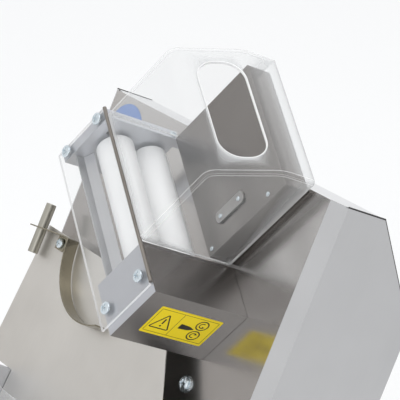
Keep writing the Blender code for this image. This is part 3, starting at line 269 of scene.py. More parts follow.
COVER_EDGE = 0.15
TURNED_ASIDE = 0.3  # how far a folded face of the front panel looks to the side, at the least
side_steel = brushed("satin_stainless_sides", "#bdbdbe", "#b6b6b7", roughness=0.42, along=RISE, spread=0.05)
# painted light: the top cover's colour is paler than the sides' for the light it gets and mirrors from above
top_steel_painted_light = brushed("satin_stainless_top_painted_light", "#e9e9ea", "#e2e2e3", roughness=0.34, along=X, spread=0.04)
eased("top_cover", "sheet", top_steel_painted_light, COVER_EDGE)
for node in ("side_panel_left", "side_panel_right", "rear_cover"):
    eased(node, "sheet", side_steel, COVER_EDGE)
refinish(front_panel, lambda normals: np.abs(normals @ X) > TURNED_ASIDE, side_steel)
base_steel = brushed("satin_stainless_base", "#cbcbca", "#b8b7b6", roughness=0.38, along=X)
for node in ("base_cover", "front_apron", "bottom_plate"):
    eased(node, "sheet", base_steel, width=0.4)

# ---------------------------------------------------------------------------------------------------
# Feet, cable gland and push buttons. The feet are moulded rubber with two shallow grooves, the gland is
# black nylon with a hexagon nut, and each button is a glossy moulded cap in a chromed ring.

Y = np.array((0.0, 1.0, 0.0))
Z = np.array((0.0, 0.0, 1.0))
POLE = 0.001 * MM  # points nearer than this become one


def softened(corners, radius, steps=5):
    """A polyline with its inner corners rounded: near each corner B it follows the quadratic curve
    (1 - t)^2 A + 2 t (1 - t) B + t^2 C, where A and C lie radius before and after B, or half an edge."""
    corners = np.asarray(corners, float)
    t = np.linspace(0, 1, steps)[:, None]
    run = [corners[:1]]
    for before, corner, after in zip(corners, corners[1:], corners[2:]):
        back, on = before - corner, after - corner
        lengths = np.linalg.norm(back), np.linalg.norm(on)
        start = corner + back * min(radius / lengths[0], 0.5)
        end = corner + on * min(radius / lengths[1], 0.5)
        run.append((1 - t) ** 2 * start + 2 * t * (1 - t) * corner + t**2 * end)
    return np.vstack([*run, corners[-1:]])


def skinned(name, points, look, wrap_rows=False, wrap_columns=False, sharp=40):
    """A mesh over a grid of points, rows by columns by 3. Each face joins four neighbours, and a wrap joins
    the last row or column to the first. Points that fall together, as at a pole, become one."""
    index = np.arange(points.shape[0] * points.shape[1]).reshape(points.shape[:2])
    if wrap_rows:
        index = np.vstack([index, index[:1]])
    if wrap_columns:
        index = np.hstack([index, index[:, :1]])
    faces = np.stack([index[:-1, :-1], index[1:, :-1], index[1:, 1:], index[:-1, 1:]], -1)
    mesh = bpy.data.meshes.new(name)
    mesh.from_pydata(points.reshape(-1, 3).tolist(), [], faces.reshape(-1, 4).tolist())
    bm = bmesh.new()
    bm.from_mesh(mesh)
    bmesh.ops.remove_doubles(bm, verts=bm.verts, dist=POLE)
    bmesh.ops.recalc_face_normals(bm, faces=bm.faces)
    bm.to_mesh(mesh)
    bm.free()
    mesh.materials.append(look)
    mesh.shade_smooth()
    mesh.set_sharp_from_angle(angle=math.radians(sharp))
    piece = bpy.data.objects.new(name, mesh)
    bpy.context.scene.collection.objects.link(piece)
    return piece


def across(axis):
    """Two directions square to an axis and to each other."""
    side = np.cross(axis, X if abs(axis @ X) < NEARLY_ALONG else Z)
    side = side / np.linalg.norm(side)
    return side, np.cross(axis, side)


def turned(name, profile, base, axis, look, count=64, shape=1.0):
    """A turned or moulded round piece. A point is base plus its profile row's distance along the axis plus
    its radius times (cos t, sin t) across it. shape multiplies the radius, by angle or by row and angle."""
    t = np.linspace(0, 2 * np.pi, count, endpoint=False)
    distance, radius = profile[:, :1], profile[:, 1:] * shape
    at = placed(base, axis, *across(axis))
    grid = at(distance + 0 * t, radius * np.cos(t), radius * np.sin(t))
    return skinned(name, grid, look, wrap_columns=True)


def moulded(name, colour, roughness, grain, depth, **more):
    """A moulded plastic or rubber: even colour, with the fine texture of the mould, grain millimetres across
    and depth millimetres deep, and a slight change in gloss where hands and cloths have rubbed it, in patches
    33 mm across."""
    made, tree, shader = finish(name, Base_Color=linear(colour), **more)
    place = add(tree, "TexCoord").outputs["Object"]
    texture = add(tree, "TexNoise", [("Vector", place), ("Scale", 1 / (grain * MM)), ("Detail", 2.0)])
    rub = add(tree, "TexNoise", [("Vector", place), ("Scale", 30.0)])
    gloss = add(
        tree,
        "MapRange",
        [("Value", rub.outputs["Fac"]), ("To Min", roughness - 0.08), ("To Max", roughness + 0.08)],
    )
    relief = [("Height", texture.outputs["Fac"]), ("Strength", 0.3), ("Distance", depth * MM)]
    bump = add(tree, "Bump", relief)
    tree.links.new(gloss.outputs["Result"], shader.inputs["Roughness"])
    tree.links.new(bump.outputs["Normal"], shader.inputs["Normal"])
    return made


foot_rubber = moulded("moulded_rubber", "#1b1b1c", roughness=0.75, grain=0.8, depth=0.08)
for i in range(4):
    node = "foot_%d" % (i + 1)
    low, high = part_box(node)
    base = np.array(((low.x + high.x) / 2, (low.y + high.y) / 2, low.z))
    tall = (high.z - low.z) / MM
    wide = (high.x - low.x) / 2 / MM
    # height and radius, from the floor up: the widest ring, a groove at 8 mm and one at 13 mm
    outline = [(0, 0), (0, wide - 2), (3, wide), (7, wide - 1), (8, wide - 2), (9, wide - 1.2)]
    outline += [(12, wide - 1.8), (13, wide - 2.8), (14, wide - 2.2), (tall, wide - 4), (tall, 0)]
    foot_profile = softened(outline, radius=0.8, steps=4)
    settle(turned(node + "_rubber", foot_profile, base, Z, foot_rubber, count=48), node)

gland_nylon = moulded("black_nylon", "#151516", roughness=0.45, grain=0.5, depth=0.03)
NUT_START, NUT_END = 12.2, 19.2
NUT_INNER = 9.0
low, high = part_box("cable_gland")
gland_long = (high.y - low.y) / MM
gland_place = np.array(((low.x + high.x) / 2, low.y, (low.z + high.z) / 2))
# distance and radius, from inside the body out: the thread, the nut, the collar and the cord's hole
gland_outline = [(0, 0), (0, 7), (1, 8), (12, 8), (12.3, 12), (13, 12), (19, 12), (19.4, 9.5), (24, 9)]
gland_outline += [(gland_long, 7), (gland_long, 4.2), (6, 4.0), (6, 0)]
gland_profile = softened(gland_outline, radius=0.5, steps=3)
# on a flat, the nut's radius is cos 30 over the cosine of the angle from the flat's middle
HEXAGON_STEPS = 72
around = np.linspace(0, 2 * np.pi, HEXAGON_STEPS, endpoint=False)
flats = np.cos(np.pi / 6) / np.cos((around + np.pi / 6) % (np.pi / 3) - np.pi / 6)
gland_rows, gland_radii = gland_profile[:, :1], gland_profile[:, 1:]
nut = (gland_rows > NUT_START) & (gland_rows < NUT_END) & (gland_radii > NUT_INNER)
gland_shape = 1 - nut * (1 - flats)
gland_piece = turned(
    "cable_gland_nut", gland_profile, gland_place, Y, gland_nylon, HEXAGON_STEPS, gland_shape
)
settle(gland_piece, "cable_gland")

# polished chrome plating, so smooth that it mirrors the room as one bright thin circle
chrome_look = {"Metallic": 1.0, "Base_Color": linear("#d8dadc"), "Roughness": 0.12}
chrome_ring = finish("chromed_ring", **chrome_look)[0]
for node, colour in (("start_button", "#12813a"), ("stop_button", "#c01818")):
    look = moulded("glossy_cap_" + node, colour, roughness=0.22, grain=1.0, depth=0.005, Coat_Weight=0.3)
    low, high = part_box(node)
    base = np.array(((low.x + high.x) / 2, low.y, (low.z + high.z) / 2))
    # distance and radius: the hollowed face, the cap's side, and the collar that keeps it in
    deep = (high.y - low.y) / MM
    collar = deep - 2.5
    cap = [(0.5, 0), (0.0, 6.0), (0.2, 8.2), (1.2, 9.0), (collar, 9.0), (collar, 10.9)]
    cap += [(deep, 10.9), (deep, 0)]
    settle(turned(node + "_cap", softened(cap, radius=0.7), base, Y, look, count=48), node)
    ring = [(4.3, 9.4), (3.2, 9.5), (2.6, 10.4), (2.9, 11.8), (4.3, 12.6), (5.7, 12.6), (5.7, 9.4)]
    ring_profile = softened([*ring, ring[0]], radius=0.5, steps=4)
    bezel = turned(node + "_ring", ring_profile, base, Y, chrome_ring, count=48)
    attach(bezel, "body")

# ---------------------------------------------------------------------------------------------------
# Side seams. A ground weld fills the step where the front panel's fold meets each side panel, brushed with
# the sheets. A dark bead of sealant closes the joints of the top and rear covers with the sides.

# silicone sealant smoothed by hand: even, dark and dull
seal_rubber = finish("dark_sealant", Base_Color=linear("#2b2a29"), Roughness=0.6)[0]
folds = points_of("front_panel")
SIDE_STEP = ((0.0, 0.0), (2.25, 1.35), (2.25, 2.6), (0.0, 2.6))  # outward and into the body, from the fold
WELD_ABOVE_FOOT = 6.0
WELD_BELOW_TOP = 1.0
TOUCHING = 0.1 * MM
SHOULDER_HEIGHT = 0.3  # metres; the side panel's corners above this are those of its covers
BEADS = (0.9, 0.5)  # the sealant's radius along the top cover and along the rear cover
BEAD_SUNK = 0.4  # the share of its radius that lies inside the side panel's face
for side, name in ((1, "right"), (-1, "left")):
    edge = folds[side * folds[:, 0] > np.abs(folds[:, 0]).max() - TOUCHING]
    edge = edge[np.argsort(edge @ RISE)]
    ends = [edge[0] + WELD_ABOVE_FOOT * MM * RISE, edge[-1] - WELD_BELOW_TOP * MM * RISE]
    section = np.array([MM * (side * out * X + deep * INTO) for out, deep in SIDE_STEP])
    rows = [end + section for end in ends]
    caps = [row.mean(axis=0) + 0 * row for row in rows]
    weld = skinned("side_seam_" + name, np.stack([caps[0], *rows, caps[1]]), side_steel, wrap_columns=True)
    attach(weld, "body")
    outer = points_of("side_panel_" + name)
    outer = outer[side * outer[:, 0] > np.abs(outer[:, 0]).max() - TOUCHING]
    crest = np.unique(outer[outer[:, 2] > SHOULDER_HEIGHT].round(6), axis=0)
    crest = crest[np.argsort(-crest[:, 2])]
    for k, thick in enumerate(BEADS):
        start, end = (point - side * BEAD_SUNK * thick * MM * X for point in crest[k : k + 2])
        run = np.linalg.norm(end - start) / MM
        seal = np.array(((0, 0), (0, thick), (run, thick), (run, 0)))
        way = (end - start) / run / MM
        made = turned("seal_%s_%d" % (name, k + 1), seal, start, way, seal_rubber, count=12)
        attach(made, "body")

# ---------------------------------------------------------------------------------------------------
# Drive box. A welded box of 2 mm stainless steel at the low end of the upper rollers, ground smooth at its
# edges, which houses their gears. Its colour is darker than the panels' as painted shade, as it faces down
# and forward, and its front face is lighter as a painted reflection.

# painted shade: the box's steel is darker in colour than the panels' for its faces that look down and forward
box_steel_painted_shade = brushed("ground_stainless_box_painted_shade", "#a29f9e", "#9d9a98", roughness=0.26, along=INTO, spread=0.01)
drive_box = eased("drive_box", "sheet", box_steel_painted_shade, width=0.8)

# ---------------------------------------------------------------------------------------------------
# Caution label. A yellow vinyl sticker on the box's lower side, with black print: a plain triangle with a
# bar and a dot, and a pair of rollers with the arrows of their turning. The design is generic.

LABEL_LOW = (22.5, -60.0)  # across and up the box's side
LABEL_SIZE = (80.5, 43.0)
VINYL = 0.12
VINYL_LIFT = 0.15 * VINYL  # keeps the film's back off the steel
INK = 0.06
FINE_LINE = 0.5
BOLD_LINE = 1.5
label = placed(head(-VINYL, LABEL_LOW[1], LABEL_LOW[0]), INTO, FEED, -ALONG)


def loop_of(width, height, radius, centre=(0.0, 0.0), steps=4):
    """A closed rectangle with round corners: from each corner's centre, radius times (cos t, sin t) over
    the quarter turn that faces outwards."""
    t = np.linspace(0, np.pi / 2, steps)
    quarters = np.concatenate([t + i * np.pi / 2 for i in range(4)])
    signs = np.repeat(np.array(((1, 1), (-1, 1), (-1, -1), (1, -1))), steps, axis=0)
    inner = signs * (np.array((width, height)) / 2 - radius)
    return inner + radius * np.stack([np.cos(quarters), np.sin(quarters)], -1) + np.array(centre)


def slab(name, outline, low, high, at, look):
    """A flat piece: its closed outline at two heights, each end closed by drawing the outline in to its
    middle."""
    middle = outline.mean(axis=0) + 0 * outline
    rows = [(middle, low), (outline, low), (outline, high), (middle, high)]
    grid = np.stack([at(loop[:, 0], loop[:, 1], height + 0 * loop[:, 0]) for loop, height in rows])
    return skinned(name, grid, look, wrap_columns=True)


def beside(path, closed):
    """The directions to the left of a path of points: each point's neighbours give its heading, turned a
    quarter turn."""
    if closed:
        heading = np.roll(path, -1, axis=0) - np.roll(path, 1, axis=0)
    else:
        heading = np.gradient(path, axis=0)
    heading = heading / np.linalg.norm(heading, axis=1)[:, None]
    return np.stack([-heading[:, 1], heading[:, 0]], -1)


def swept(name, path, section, at, look, closed=False):
    """A section carried along a path. A point is its path point plus the section's first number to the left
    of the path, at the section's second number in height. An open path's ends are drawn in to a point."""
    left = beside(path, closed)
    rows = path[:, None, :] + left[:, None, :] * section[None, :, :1]
    height = section[None, :, 1] + 0 * rows[..., 0]
    if not closed:
        ends = [row.mean(axis=0) + 0 * row for row in (rows[0], rows[-1])]
        rows = np.concatenate([ends[0][None], rows, ends[1][None]])
        middle = section[:, 1].mean() + 0 * height[:1]
        height = np.concatenate([middle, height, middle])
    grid = at(rows[..., 0], rows[..., 1], height)
    return skinned(name, grid, look, wrap_rows=closed, wrap_columns=True)


def printed(name, colour, roughness):
    """Printed vinyl film: an even colour under a satin surface, faintly uneven every 8 mm or so where it was
    smoothed down."""
    made, tree, shader = finish(name, Base_Color=linear(colour), Roughness=roughness)
    place = add(tree, "TexCoord").outputs["Object"]
    ripple = add(tree, "TexNoise", [("Vector", place), ("Scale", 120.0)])
    relief = [("Height", ripple.outputs["Fac"]), ("Strength", 0.15), ("Distance", 0.1 * MM)]
    bump = add(tree, "Bump", relief)
    tree.links.new(bump.outputs["Normal"], shader.inputs["Normal"])
    return made


yellow_vinyl = printed("yellow_vinyl", "#e8cf12", roughness=0.42)
black_ink = printed("black_print", "#17160f", roughness=0.45)
ring_section = np.array(((-1, 0), (1, 0), (1, 1), (-1, 1)), float)


def ink_line(name, path, width, closed=False):
    """A printed line of the given width along a path."""
    section = ring_section * np.array((width / 2, INK))
    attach(swept(name, np.asarray(path, float), section, label, black_ink, closed), "body")


def arc(centre, radius, start, end, count=24):
    """Points on a circle between two angles in degrees."""
    t = np.radians(np.linspace(start, end, count))
    return np.stack([centre[0] + radius * np.cos(t), centre[1] + radius * np.sin(t)], -1)


LABEL_WIDE, LABEL_TALL = LABEL_SIZE
label_middle = np.array(LABEL_SIZE) / 2
film = loop_of(LABEL_WIDE, LABEL_TALL, radius=1.5, centre=label_middle)
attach(slab("label_film", film, VINYL_LIFT - VINYL, 0.0, label, yellow_vinyl), "body")
border = loop_of(LABEL_WIDE - 6, LABEL_TALL - 7, radius=0.8, centre=label_middle)
ink_line("label_border", border, FINE_LINE, closed=True)
DIVIDER_AT = 33.0
DIVIDER_END = 3.7
ink_line("label_divider", ((DIVIDER_AT, DIVIDER_END), (DIVIDER_AT, LABEL_TALL - DIVIDER_END)), FINE_LINE)

SIGN_MIDDLE = 17.5  # of the triangle, its bar and its dot
sign_start = (11.5, 21.75)
sign = [sign_start, (5.5, 10.5), (29.5, 10.5), (SIGN_MIDDLE, 33.0), sign_start]
ink_line("label_triangle", softened(sign, radius=2.0)[:-1], BOLD_LINE, closed=True)
ink_line("label_bar", ((SIGN_MIDDLE, 26.0), (SIGN_MIDDLE, 18.0)), width=2.0)
dot = arc((SIGN_MIDDLE, 14.6), radius=1.2, start=0, end=345)
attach(slab("label_dot", dot, 0.0, INK, label, black_ink), "body")

DRAWN_ROLLERS = 62.0
DRAWN_APART = 8.4  # each drawn roller's middle from the label's
DRAWN_RADIUS = 6.9
ARROW_RADIUS = 3.4
ARROW_TAIL, ARROW_TIP = 60, 300  # degrees
for side, name in ((1, "high"), (-1, "low")):
    centre = (DRAWN_ROLLERS, label_middle[1] + side * DRAWN_APART)
    ink_line("label_roller_" + name, arc(centre, DRAWN_RADIUS, 0, 352.5, 48), BOLD_LINE, closed=True)
    arrow = arc(centre, ARROW_RADIUS, ARROW_TAIL * side, ARROW_TIP * side)
    ink_line("label_arrow_" + name, arrow, width=1.2)
    tip = arc(centre, ARROW_RADIUS, ARROW_TIP * side, ARROW_TIP * side, count=1)[0]
    barb = np.array(((2.2, side * 1.2), (-1.4, side * 2.2), (-0.4, -side * 1.4))) + tip
    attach(slab("label_barb_" + name, barb, 0.0, INK, label, black_ink), "body")
nip = (57, label_middle[1])
dough = softened([(38, 17.5), (50, 18.5), nip, (50, 24.5), (38, 25.5), (38, 17.5)], radius=1.5)
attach(slab("label_dough", dough[:-1], 0.0, INK, label, black_ink), "body")

# ---------------------------------------------------------------------------------------------------
# Round sticker. A plain disc of blue vinyl film, stuck by hand high on the front panel, beyond the upper
# rollers. It has no print.

DISC_X = -174.5
DISC_RISE = 106.0
DISC_OFF = 0.1  # keeps the film's back off the steel
DISC_RADIUS = 35.0
disc = placed(panel(DISC_X, DISC_RISE, DISC_OFF), X, RISE, -INTO)
blue_vinyl = printed("blue_vinyl", "#4f78ba", roughness=0.4)
disc_edge = arc((0, 0), DISC_RADIUS, 0, 355, 72)
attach(slab("round_sticker", disc_edge, 0.0, VINYL, disc, blue_vinyl), "body")

# ---------------------------------------------------------------------------------------------------
# Bearing plate, far plate and sliding blocks. Milled aluminium, 6 and 12 mm thick, with the faint even
# grain of a face mill and sharp bright edges. The plates hold the rollers, the blocks let one of them move.


def milled(name, light, dark, roughness):
    """Milled and bead-blasted aluminium: a fine even grain, drawn 1.5 mm across so that it shows, which
    changes the gloss a little. The colour drifts slightly in patches 45 mm across."""
    made, tree, shader = finish(name, Metallic=1.0)
    place = add(tree, "TexCoord").outputs["Object"]
    grain = add(tree, "TexNoise", [("Vector", place), ("Scale", 700.0), ("Detail", 2.0)])
    cloud = add(tree, "TexNoise", [("Vector", place), ("Scale", 22.0)])
    mix = add(
        tree,
        "Mix",
        [(0, cloud.outputs["Fac"]), (6, linear(dark)), (7, linear(light))],
        data_type="RGBA",
    )
    gloss = add(
        tree,
        "MapRange",
        [("Value", grain.outputs["Fac"]), ("To Min", roughness - 0.07), ("To Max", roughness + 0.07)],
    )
    relief = [("Height", grain.outputs["Fac"]), ("Strength", 0.12), ("Distance", 0.1 * MM)]
    bump = add(tree, "Bump", relief)
    tree.links.new(mix.outputs[2], shader.inputs["Base Color"])
    tree.links.new(gloss.outputs["Result"], shader.inputs["Roughness"])
    tree.links.new(bump.outputs["Normal"], shader.inputs["Normal"])
    return made


SQUARE_ON = 0.9  # the cosine above which a face counts as looking along a direction
plate_aluminium = milled("milled_aluminium", "#d3d5da", "#c3c5cb", roughness=0.42)
for node in ("bearing_plate", "far_plate", "drive_side_plate"):
    eased(node, "milling", plate_aluminium, width=0.6)
# painted reflection: the box's front face gets the lighter aluminium finish, for the bright surroundings it
# faces and mirrors
refinish(drive_box, lambda normals: normals @ INTO < -SQUARE_ON, plate_aluminium)
for node in ("gap_slider_near", "gap_slider_far"):
    eased(node, "block", plate_aluminium, width=0.3)

# ---------------------------------------------------------------------------------------------------
# Upper rollers. Turned white acetal on 12 mm steel shafts, with a small chamfer at each end. The dough
# leaves them matt, and the turning marks run round them. One runs in the plates, the other in the blocks.


def turned_acetal(name, base, axis):
    """White acetal: a soft, slightly translucent white. The lathe leaves rings, drawn 1.4 mm apart so that
    they show, and flour leaves pale dull patches about 25 mm across."""
    made, tree, shader = finish(
        name,
        IOR=1.48,
        Subsurface_Weight=0.1,
        Subsurface_Radius=(1.0, 1.0, 1.0),
        Subsurface_Scale=0.004,
    )
    place = add(tree, "TexCoord").outputs["Object"]
    lie = add(
        tree,
        "Mapping",
        [("Vector", place), ("Location", base), ("Rotation", turn_to(axis)), ("Scale", (1.0, 1.0, 0.0014))],
        vector_type="TEXTURE",
    )
    rings = add(tree, "TexNoise", [("Vector", lie.outputs["Vector"]), ("Scale", 1.0), ("Detail", 1.0)])
    dust = add(tree, "TexNoise", [("Vector", place), ("Scale", 40.0), ("Detail", 3.0)])
    mix = add(
        tree,
        "Mix",
        [(0, dust.outputs["Fac"]), (6, linear("#f3f4f4")), (7, linear("#fdfdfd"))],
        data_type="RGBA",
    )
    gloss = add(tree, "MapRange", [("Value", dust.outputs["Fac"]), ("To Min", 0.34), ("To Max", 0.52)])
    relief = [("Height", rings.outputs["Fac"]), ("Strength", 0.2), ("Distance", 0.1 * MM)]
    bump = add(tree, "Bump", relief)
    tree.links.new(mix.outputs[2], shader.inputs["Base Color"])
    tree.links.new(gloss.outputs["Result"], shader.inputs["Roughness"])
    tree.links.new(bump.outputs["Normal"], shader.inputs["Normal"])
    return made


shaft_steel = brushed("ground_steel_shaft", "#c4c4c4", "#aeaeae", roughness=0.25, along=ALONG)
SHAFT = 6.0
SHAFT_GROUND = SHAFT - 0.1
HUB = SHAFT + 4
CHAMFER_IN, CHAMFER_LONG, CHAMFER_DEEP = 0.6, 1.8, 1.6


def roller(node, joint, low, high, ends, radius, axis):
    """A roller barrel from low to high along an axis through its joint, and the steel shaft between ends."""
    base = place_of(joint)
    edge = radius - CHAMFER_DEEP
    barrel = [(low, 0), (low, HUB), (low + CHAMFER_IN, edge), (low + CHAMFER_LONG, radius)]
    barrel += [(high - CHAMFER_LONG, radius), (high - CHAMFER_IN, edge), (high, HUB), (high, 0)]
    acetal = turned_acetal("white_acetal_" + node, base, axis)
    barrel_profile = softened(barrel, radius=0.8)
    settle(turned(node + "_barrel", barrel_profile, base, axis, acetal, count=96), node)
    start, end = ends
    rod = softened([(start, 0), (start, SHAFT_GROUND), (end, SHAFT_GROUND), (end, 0)], radius=0.6)
    shaft = turned(node + "_shaft", rod, base, axis, shaft_steel, count=40)
    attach(shaft, frame["nodes"][node]["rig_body"])


def reach(node, origin, axis):
    """How far a node reaches along an axis from a point: its lowest and highest distance in millimetres."""
    distance = (points_of(node) - origin) @ axis / MM
    return float(distance.min()), float(distance.max())


UPPER_RADIUS = 20.5
PLATE_GAP = 2.0
near_plate = reach("bearing_plate", place_of("upper_rear_spin"), ALONG)
far_side = reach("far_plate", place_of("upper_rear_spin"), ALONG)
for node, joint in (("upper_rear_roller", "upper_rear_spin"), ("upper_front_roller", "upper_front_spin")):
    ends = reach(node, place_of(joint), ALONG)
    roller(node, joint, near_plate[1] + PLATE_GAP, far_side[0] - PLATE_GAP, ends, UPPER_RADIUS, ALONG)

# ---------------------------------------------------------------------------------------------------
# Gears, bevel gears, shafts and chains. Oiled black steel inside the box and the body. They keep the shape
# that makes them run, and get the sheen of oil on blackened steel.


def oiled(name, colour, roughness):
    """Oil-blacked steel: nearly black metal whose gloss changes where the oil lies, in patches of 8 mm."""
    made, tree, shader = finish(name, Metallic=0.85, Base_Color=linear(colour))
    place = add(tree, "TexCoord").outputs["Object"]
    film = add(tree, "TexNoise", [("Vector", place), ("Scale", 120.0)])
    gloss = add(
        tree,
        "MapRange",
        [("Value", film.outputs["Fac"]), ("To Min", roughness - 0.12), ("To Max", roughness + 0.12)],
    )
    tree.links.new(gloss.outputs["Result"], shader.inputs["Roughness"])
    return made


def coated(node, look):
    """Gives a node that keeps its CAD shape a finish."""
    materials = frame["nodes"][node].data.materials
    materials.clear()
    materials.append(look)


black_steel = oiled("oiled_black_steel", "#3b3a39", roughness=0.4)
running = ["upper_rear_gear", "upper_front_gear", "roller_bevel_gear", "head_bevel_gear", "head_shaft"]
running += ["cross_shaft", "motor_shaft", "lower_rear_gear", "lower_front_gear", "upper_chain", "lower_chain"]
for node in running:
    coated(node, black_steel)

# ---------------------------------------------------------------------------------------------------
# Scraper, hopper back and interlock bracket. The scraper is a folded strip under the rollers, the hopper
# back a folded stainless pan behind them, and the bracket holds the hood's safety switch with two rivets.

scraper_steel = brushed("satin_stainless_scraper", "#c6c6c8", "#b2b2b4", roughness=0.34, along=ALONG)
eased("roller_scraper", "sheet", scraper_steel, width=0.3)
# painted reflection: the pan's stainless steel is given a dark colour for the dark that it mirrors
hopper_steel_painted_reflection = brushed(
    "brushed_stainless_hopper_painted_reflection", "#8b8784", "#878380", roughness=0.26, along=FEED, spread=0.01
)
eased("hopper_back", "sheet", hopper_steel_painted_reflection, width=1.2)
bracket_steel = brushed(
    "satin_stainless_bracket", "#a7a5a3", "#9e9c9a", roughness=0.3, along=FEED, spread=0.02
)
eased("interlock_bracket", "sheet", bracket_steel, width=0.4)

DOME_AROUND = 96
DOME_RINGS = 26
SKIRT_OUT = 1.02  # the head's widest ring, as a share of the radius
CROSS_WALL = 0.12
CROSS_HALF = 0.13
CROSS_REACH = 0.62


def domed(name, place, axis, radius, height, look, cross=0.0):
    """A round screw or rivet head on a face. Its height over the face is height times the square root of
    1 - 0.8 (r / radius)^2, and a low skirt closes it below. cross is the depth of a cross recess: the point
    sinks by it where it lies nearer to either arm's line than the arm's half width and nearer to the middle
    than the arm's reach, and CROSS_WALL is the width of its wall. All three are shares of the radius."""
    t = np.linspace(0, 2 * np.pi, DOME_AROUND, endpoint=False)
    r = np.linspace(0, radius, DOME_RINGS)[:, None]
    crown = height * np.sqrt(1 - 0.8 * (r / radius) ** 2) + 0 * t
    u, v = r * np.cos(t), r * np.sin(t)
    wall = CROSS_WALL * radius
    half = CROSS_HALF * radius
    arms = np.maximum(half - np.abs(u), half - np.abs(v)) / wall + 0.5
    inside = np.clip(arms, 0, 1) * np.clip((CROSS_REACH * radius - r) / wall + 0.5, 0, 1)
    crown = crown - cross * inside
    skirt = np.array(((0.25 * height, SKIRT_OUT), (0.06 * height, SKIRT_OUT), (0.0, 1.0), (0.0, 0.0)))
    low = skirt[:, :1] + 0 * t
    edge = radius * skirt[:, 1:]
    grid = placed(place, axis, *across(axis))(
        np.vstack([crown, low]),
        np.vstack([u, edge * np.cos(t)]),
        np.vstack([v, edge * np.sin(t)]),
    )
    return skinned(name, grid, look, wrap_columns=True, sharp=50)


def plated(name, light, dark, smooth, rough):
    """Bright zinc plating: a bluish silver with a slight mottle, 4 mm across, where the passivation lies. Its
    roughness runs from smooth to rough with the mottle."""
    made, tree, shader = finish(name, Metallic=1.0)
    place = add(tree, "TexCoord").outputs["Object"]
    mottle = add(tree, "TexNoise", [("Vector", place), ("Scale", 250.0), ("Detail", 3.0)])
    mix = add(
        tree,
        "Mix",
        [(0, mottle.outputs["Fac"]), (6, linear(dark)), (7, linear(light))],
        data_type="RGBA",
    )
    gloss = add(tree, "MapRange", [("Value", mottle.outputs["Fac"]), ("To Min", smooth), ("To Max", rough)])
    tree.links.new(mix.outputs[2], shader.inputs["Base Color"])
    tree.links.new(gloss.outputs["Result"], shader.inputs["Roughness"])
    return made


zinc = plated("bright_zinc", "#dfe6ea", "#b9c4cb", smooth=0.16, rough=0.36)
back_face = reach("hopper_back", head(0, 0, 0), INTO)[0]
bracket_face = reach("interlock_bracket", head(0, 0, 0), INTO)[0]
rivets = [(98.5, 64.6, bracket_face), (98.5, 34.4, bracket_face)]
rivets += [(75.8, 102.7, back_face), (75.8, 7.6, back_face)]
for i, spot in enumerate(rivets):
    rivet = domed("hopper_rivet_%d" % (i + 1), head(*spot), -INTO, radius=2.6, height=1.5, look=zinc)
    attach(rivet, "body")

# ---------------------------------------------------------------------------------------------------
# Clear front cover, hood and lower guard. 3 mm polycarbonate, heat-bent or drape-formed over a mould. The
# faces are clear with a cool tint; the cut edges and bends get a white finish as painted highlights.


def clear_plastic(name, colour, roughness, square, glancing):
    """Clear polycarbonate sheet. Seen square on, a face is almost invisible and mirrors a little of the
    room: it covers what lies behind by the share named square. Seen along its surface, as at a bend or an
    edge, it covers by the share named glancing, which lets its gloss show, and its pale colour is a painted
    sheen there. The surface is barely uneven, 60 mm from wave to wave, from the forming."""
    made, tree, shader = finish(name, Base_Color=linear(colour), Roughness=roughness, IOR=1.585)
    place = add(tree, "TexCoord").outputs["Object"]
    wave = add(tree, "TexNoise", [("Vector", place), ("Scale", 16.0)])
    bump = add(tree, "Bump", [("Height", wave.outputs["Fac"]), ("Strength", 0.05), ("Distance", 2 * MM)])
    edge = add(tree, "LayerWeight", [("Blend", 0.5)]).outputs["Facing"]
    shares = [("From Min", 0.35), ("From Max", 0.95), ("To Min", square), ("To Max", glancing)]
    cover = add(tree, "MapRange", [("Value", edge), *shares], interpolation_type="SMOOTHSTEP")
    tree.links.new(bump.outputs["Normal"], shader.inputs["Normal"])
    tree.links.new(cover.outputs["Result"], shader.inputs["Alpha"])
    return made


clear_sheet = clear_plastic("clear_polycarbonate", "#dfe1e2", roughness=0.05, square=0.06, glancing=0.55)
# painted highlight: the cut edges get a white, nearly opaque finish for the bright lines where the sheet
# catches the light
cut_edge_painted_highlight = clear_plastic("polished_cut_edge_painted_highlight", "#ffffff", roughness=0.12, square=0.7, glancing=0.95)
# painted highlight: the strips at the hood's bends get a whiter, more opaque finish
bend_painted_highlight = clear_plastic("clear_polycarbonate_bend_painted_highlight", "#ffffff", roughness=0.1, square=0.35, glancing=0.8)
front_cover = eased("front_cover", "sheet", clear_sheet, width=0.5)
refinish(front_cover, lambda normals: np.abs(normals @ INTO) < SQUARE_ON, cut_edge_painted_highlight)

# towards the feed and into the machine, from the hood's low edge to its back edge
HOOD_LINE = ((2.6, -3.3), (115.0, -3.3), (146.0, 74.0), (146.0, 115.0))
HOOD_ENDS = (64.0, 238.0)
HOOD_SHEET = 3.0
HOOD_BEND = 10.0
HOOD_EDGE = 4.5
FEED_SIZE = (132.0, 54.0)
FEED_ROUND = 24.0
FEED_ABOVE = 6.0  # its middle stands this far above the slope's middle
CUT_HALF = 12.0
LOW_STEPS, WALL_STEPS, ROUND_STEPS = 8, 12, 9  # of the grid, up the front, over an end wall and round a bend
FIRST_STRIP = (0.09, 0.2)  # the sine of the lean where a bend leaves the hood's front
LAST_STRIP = (0.98, 0.998)  # and where it reaches the end wall


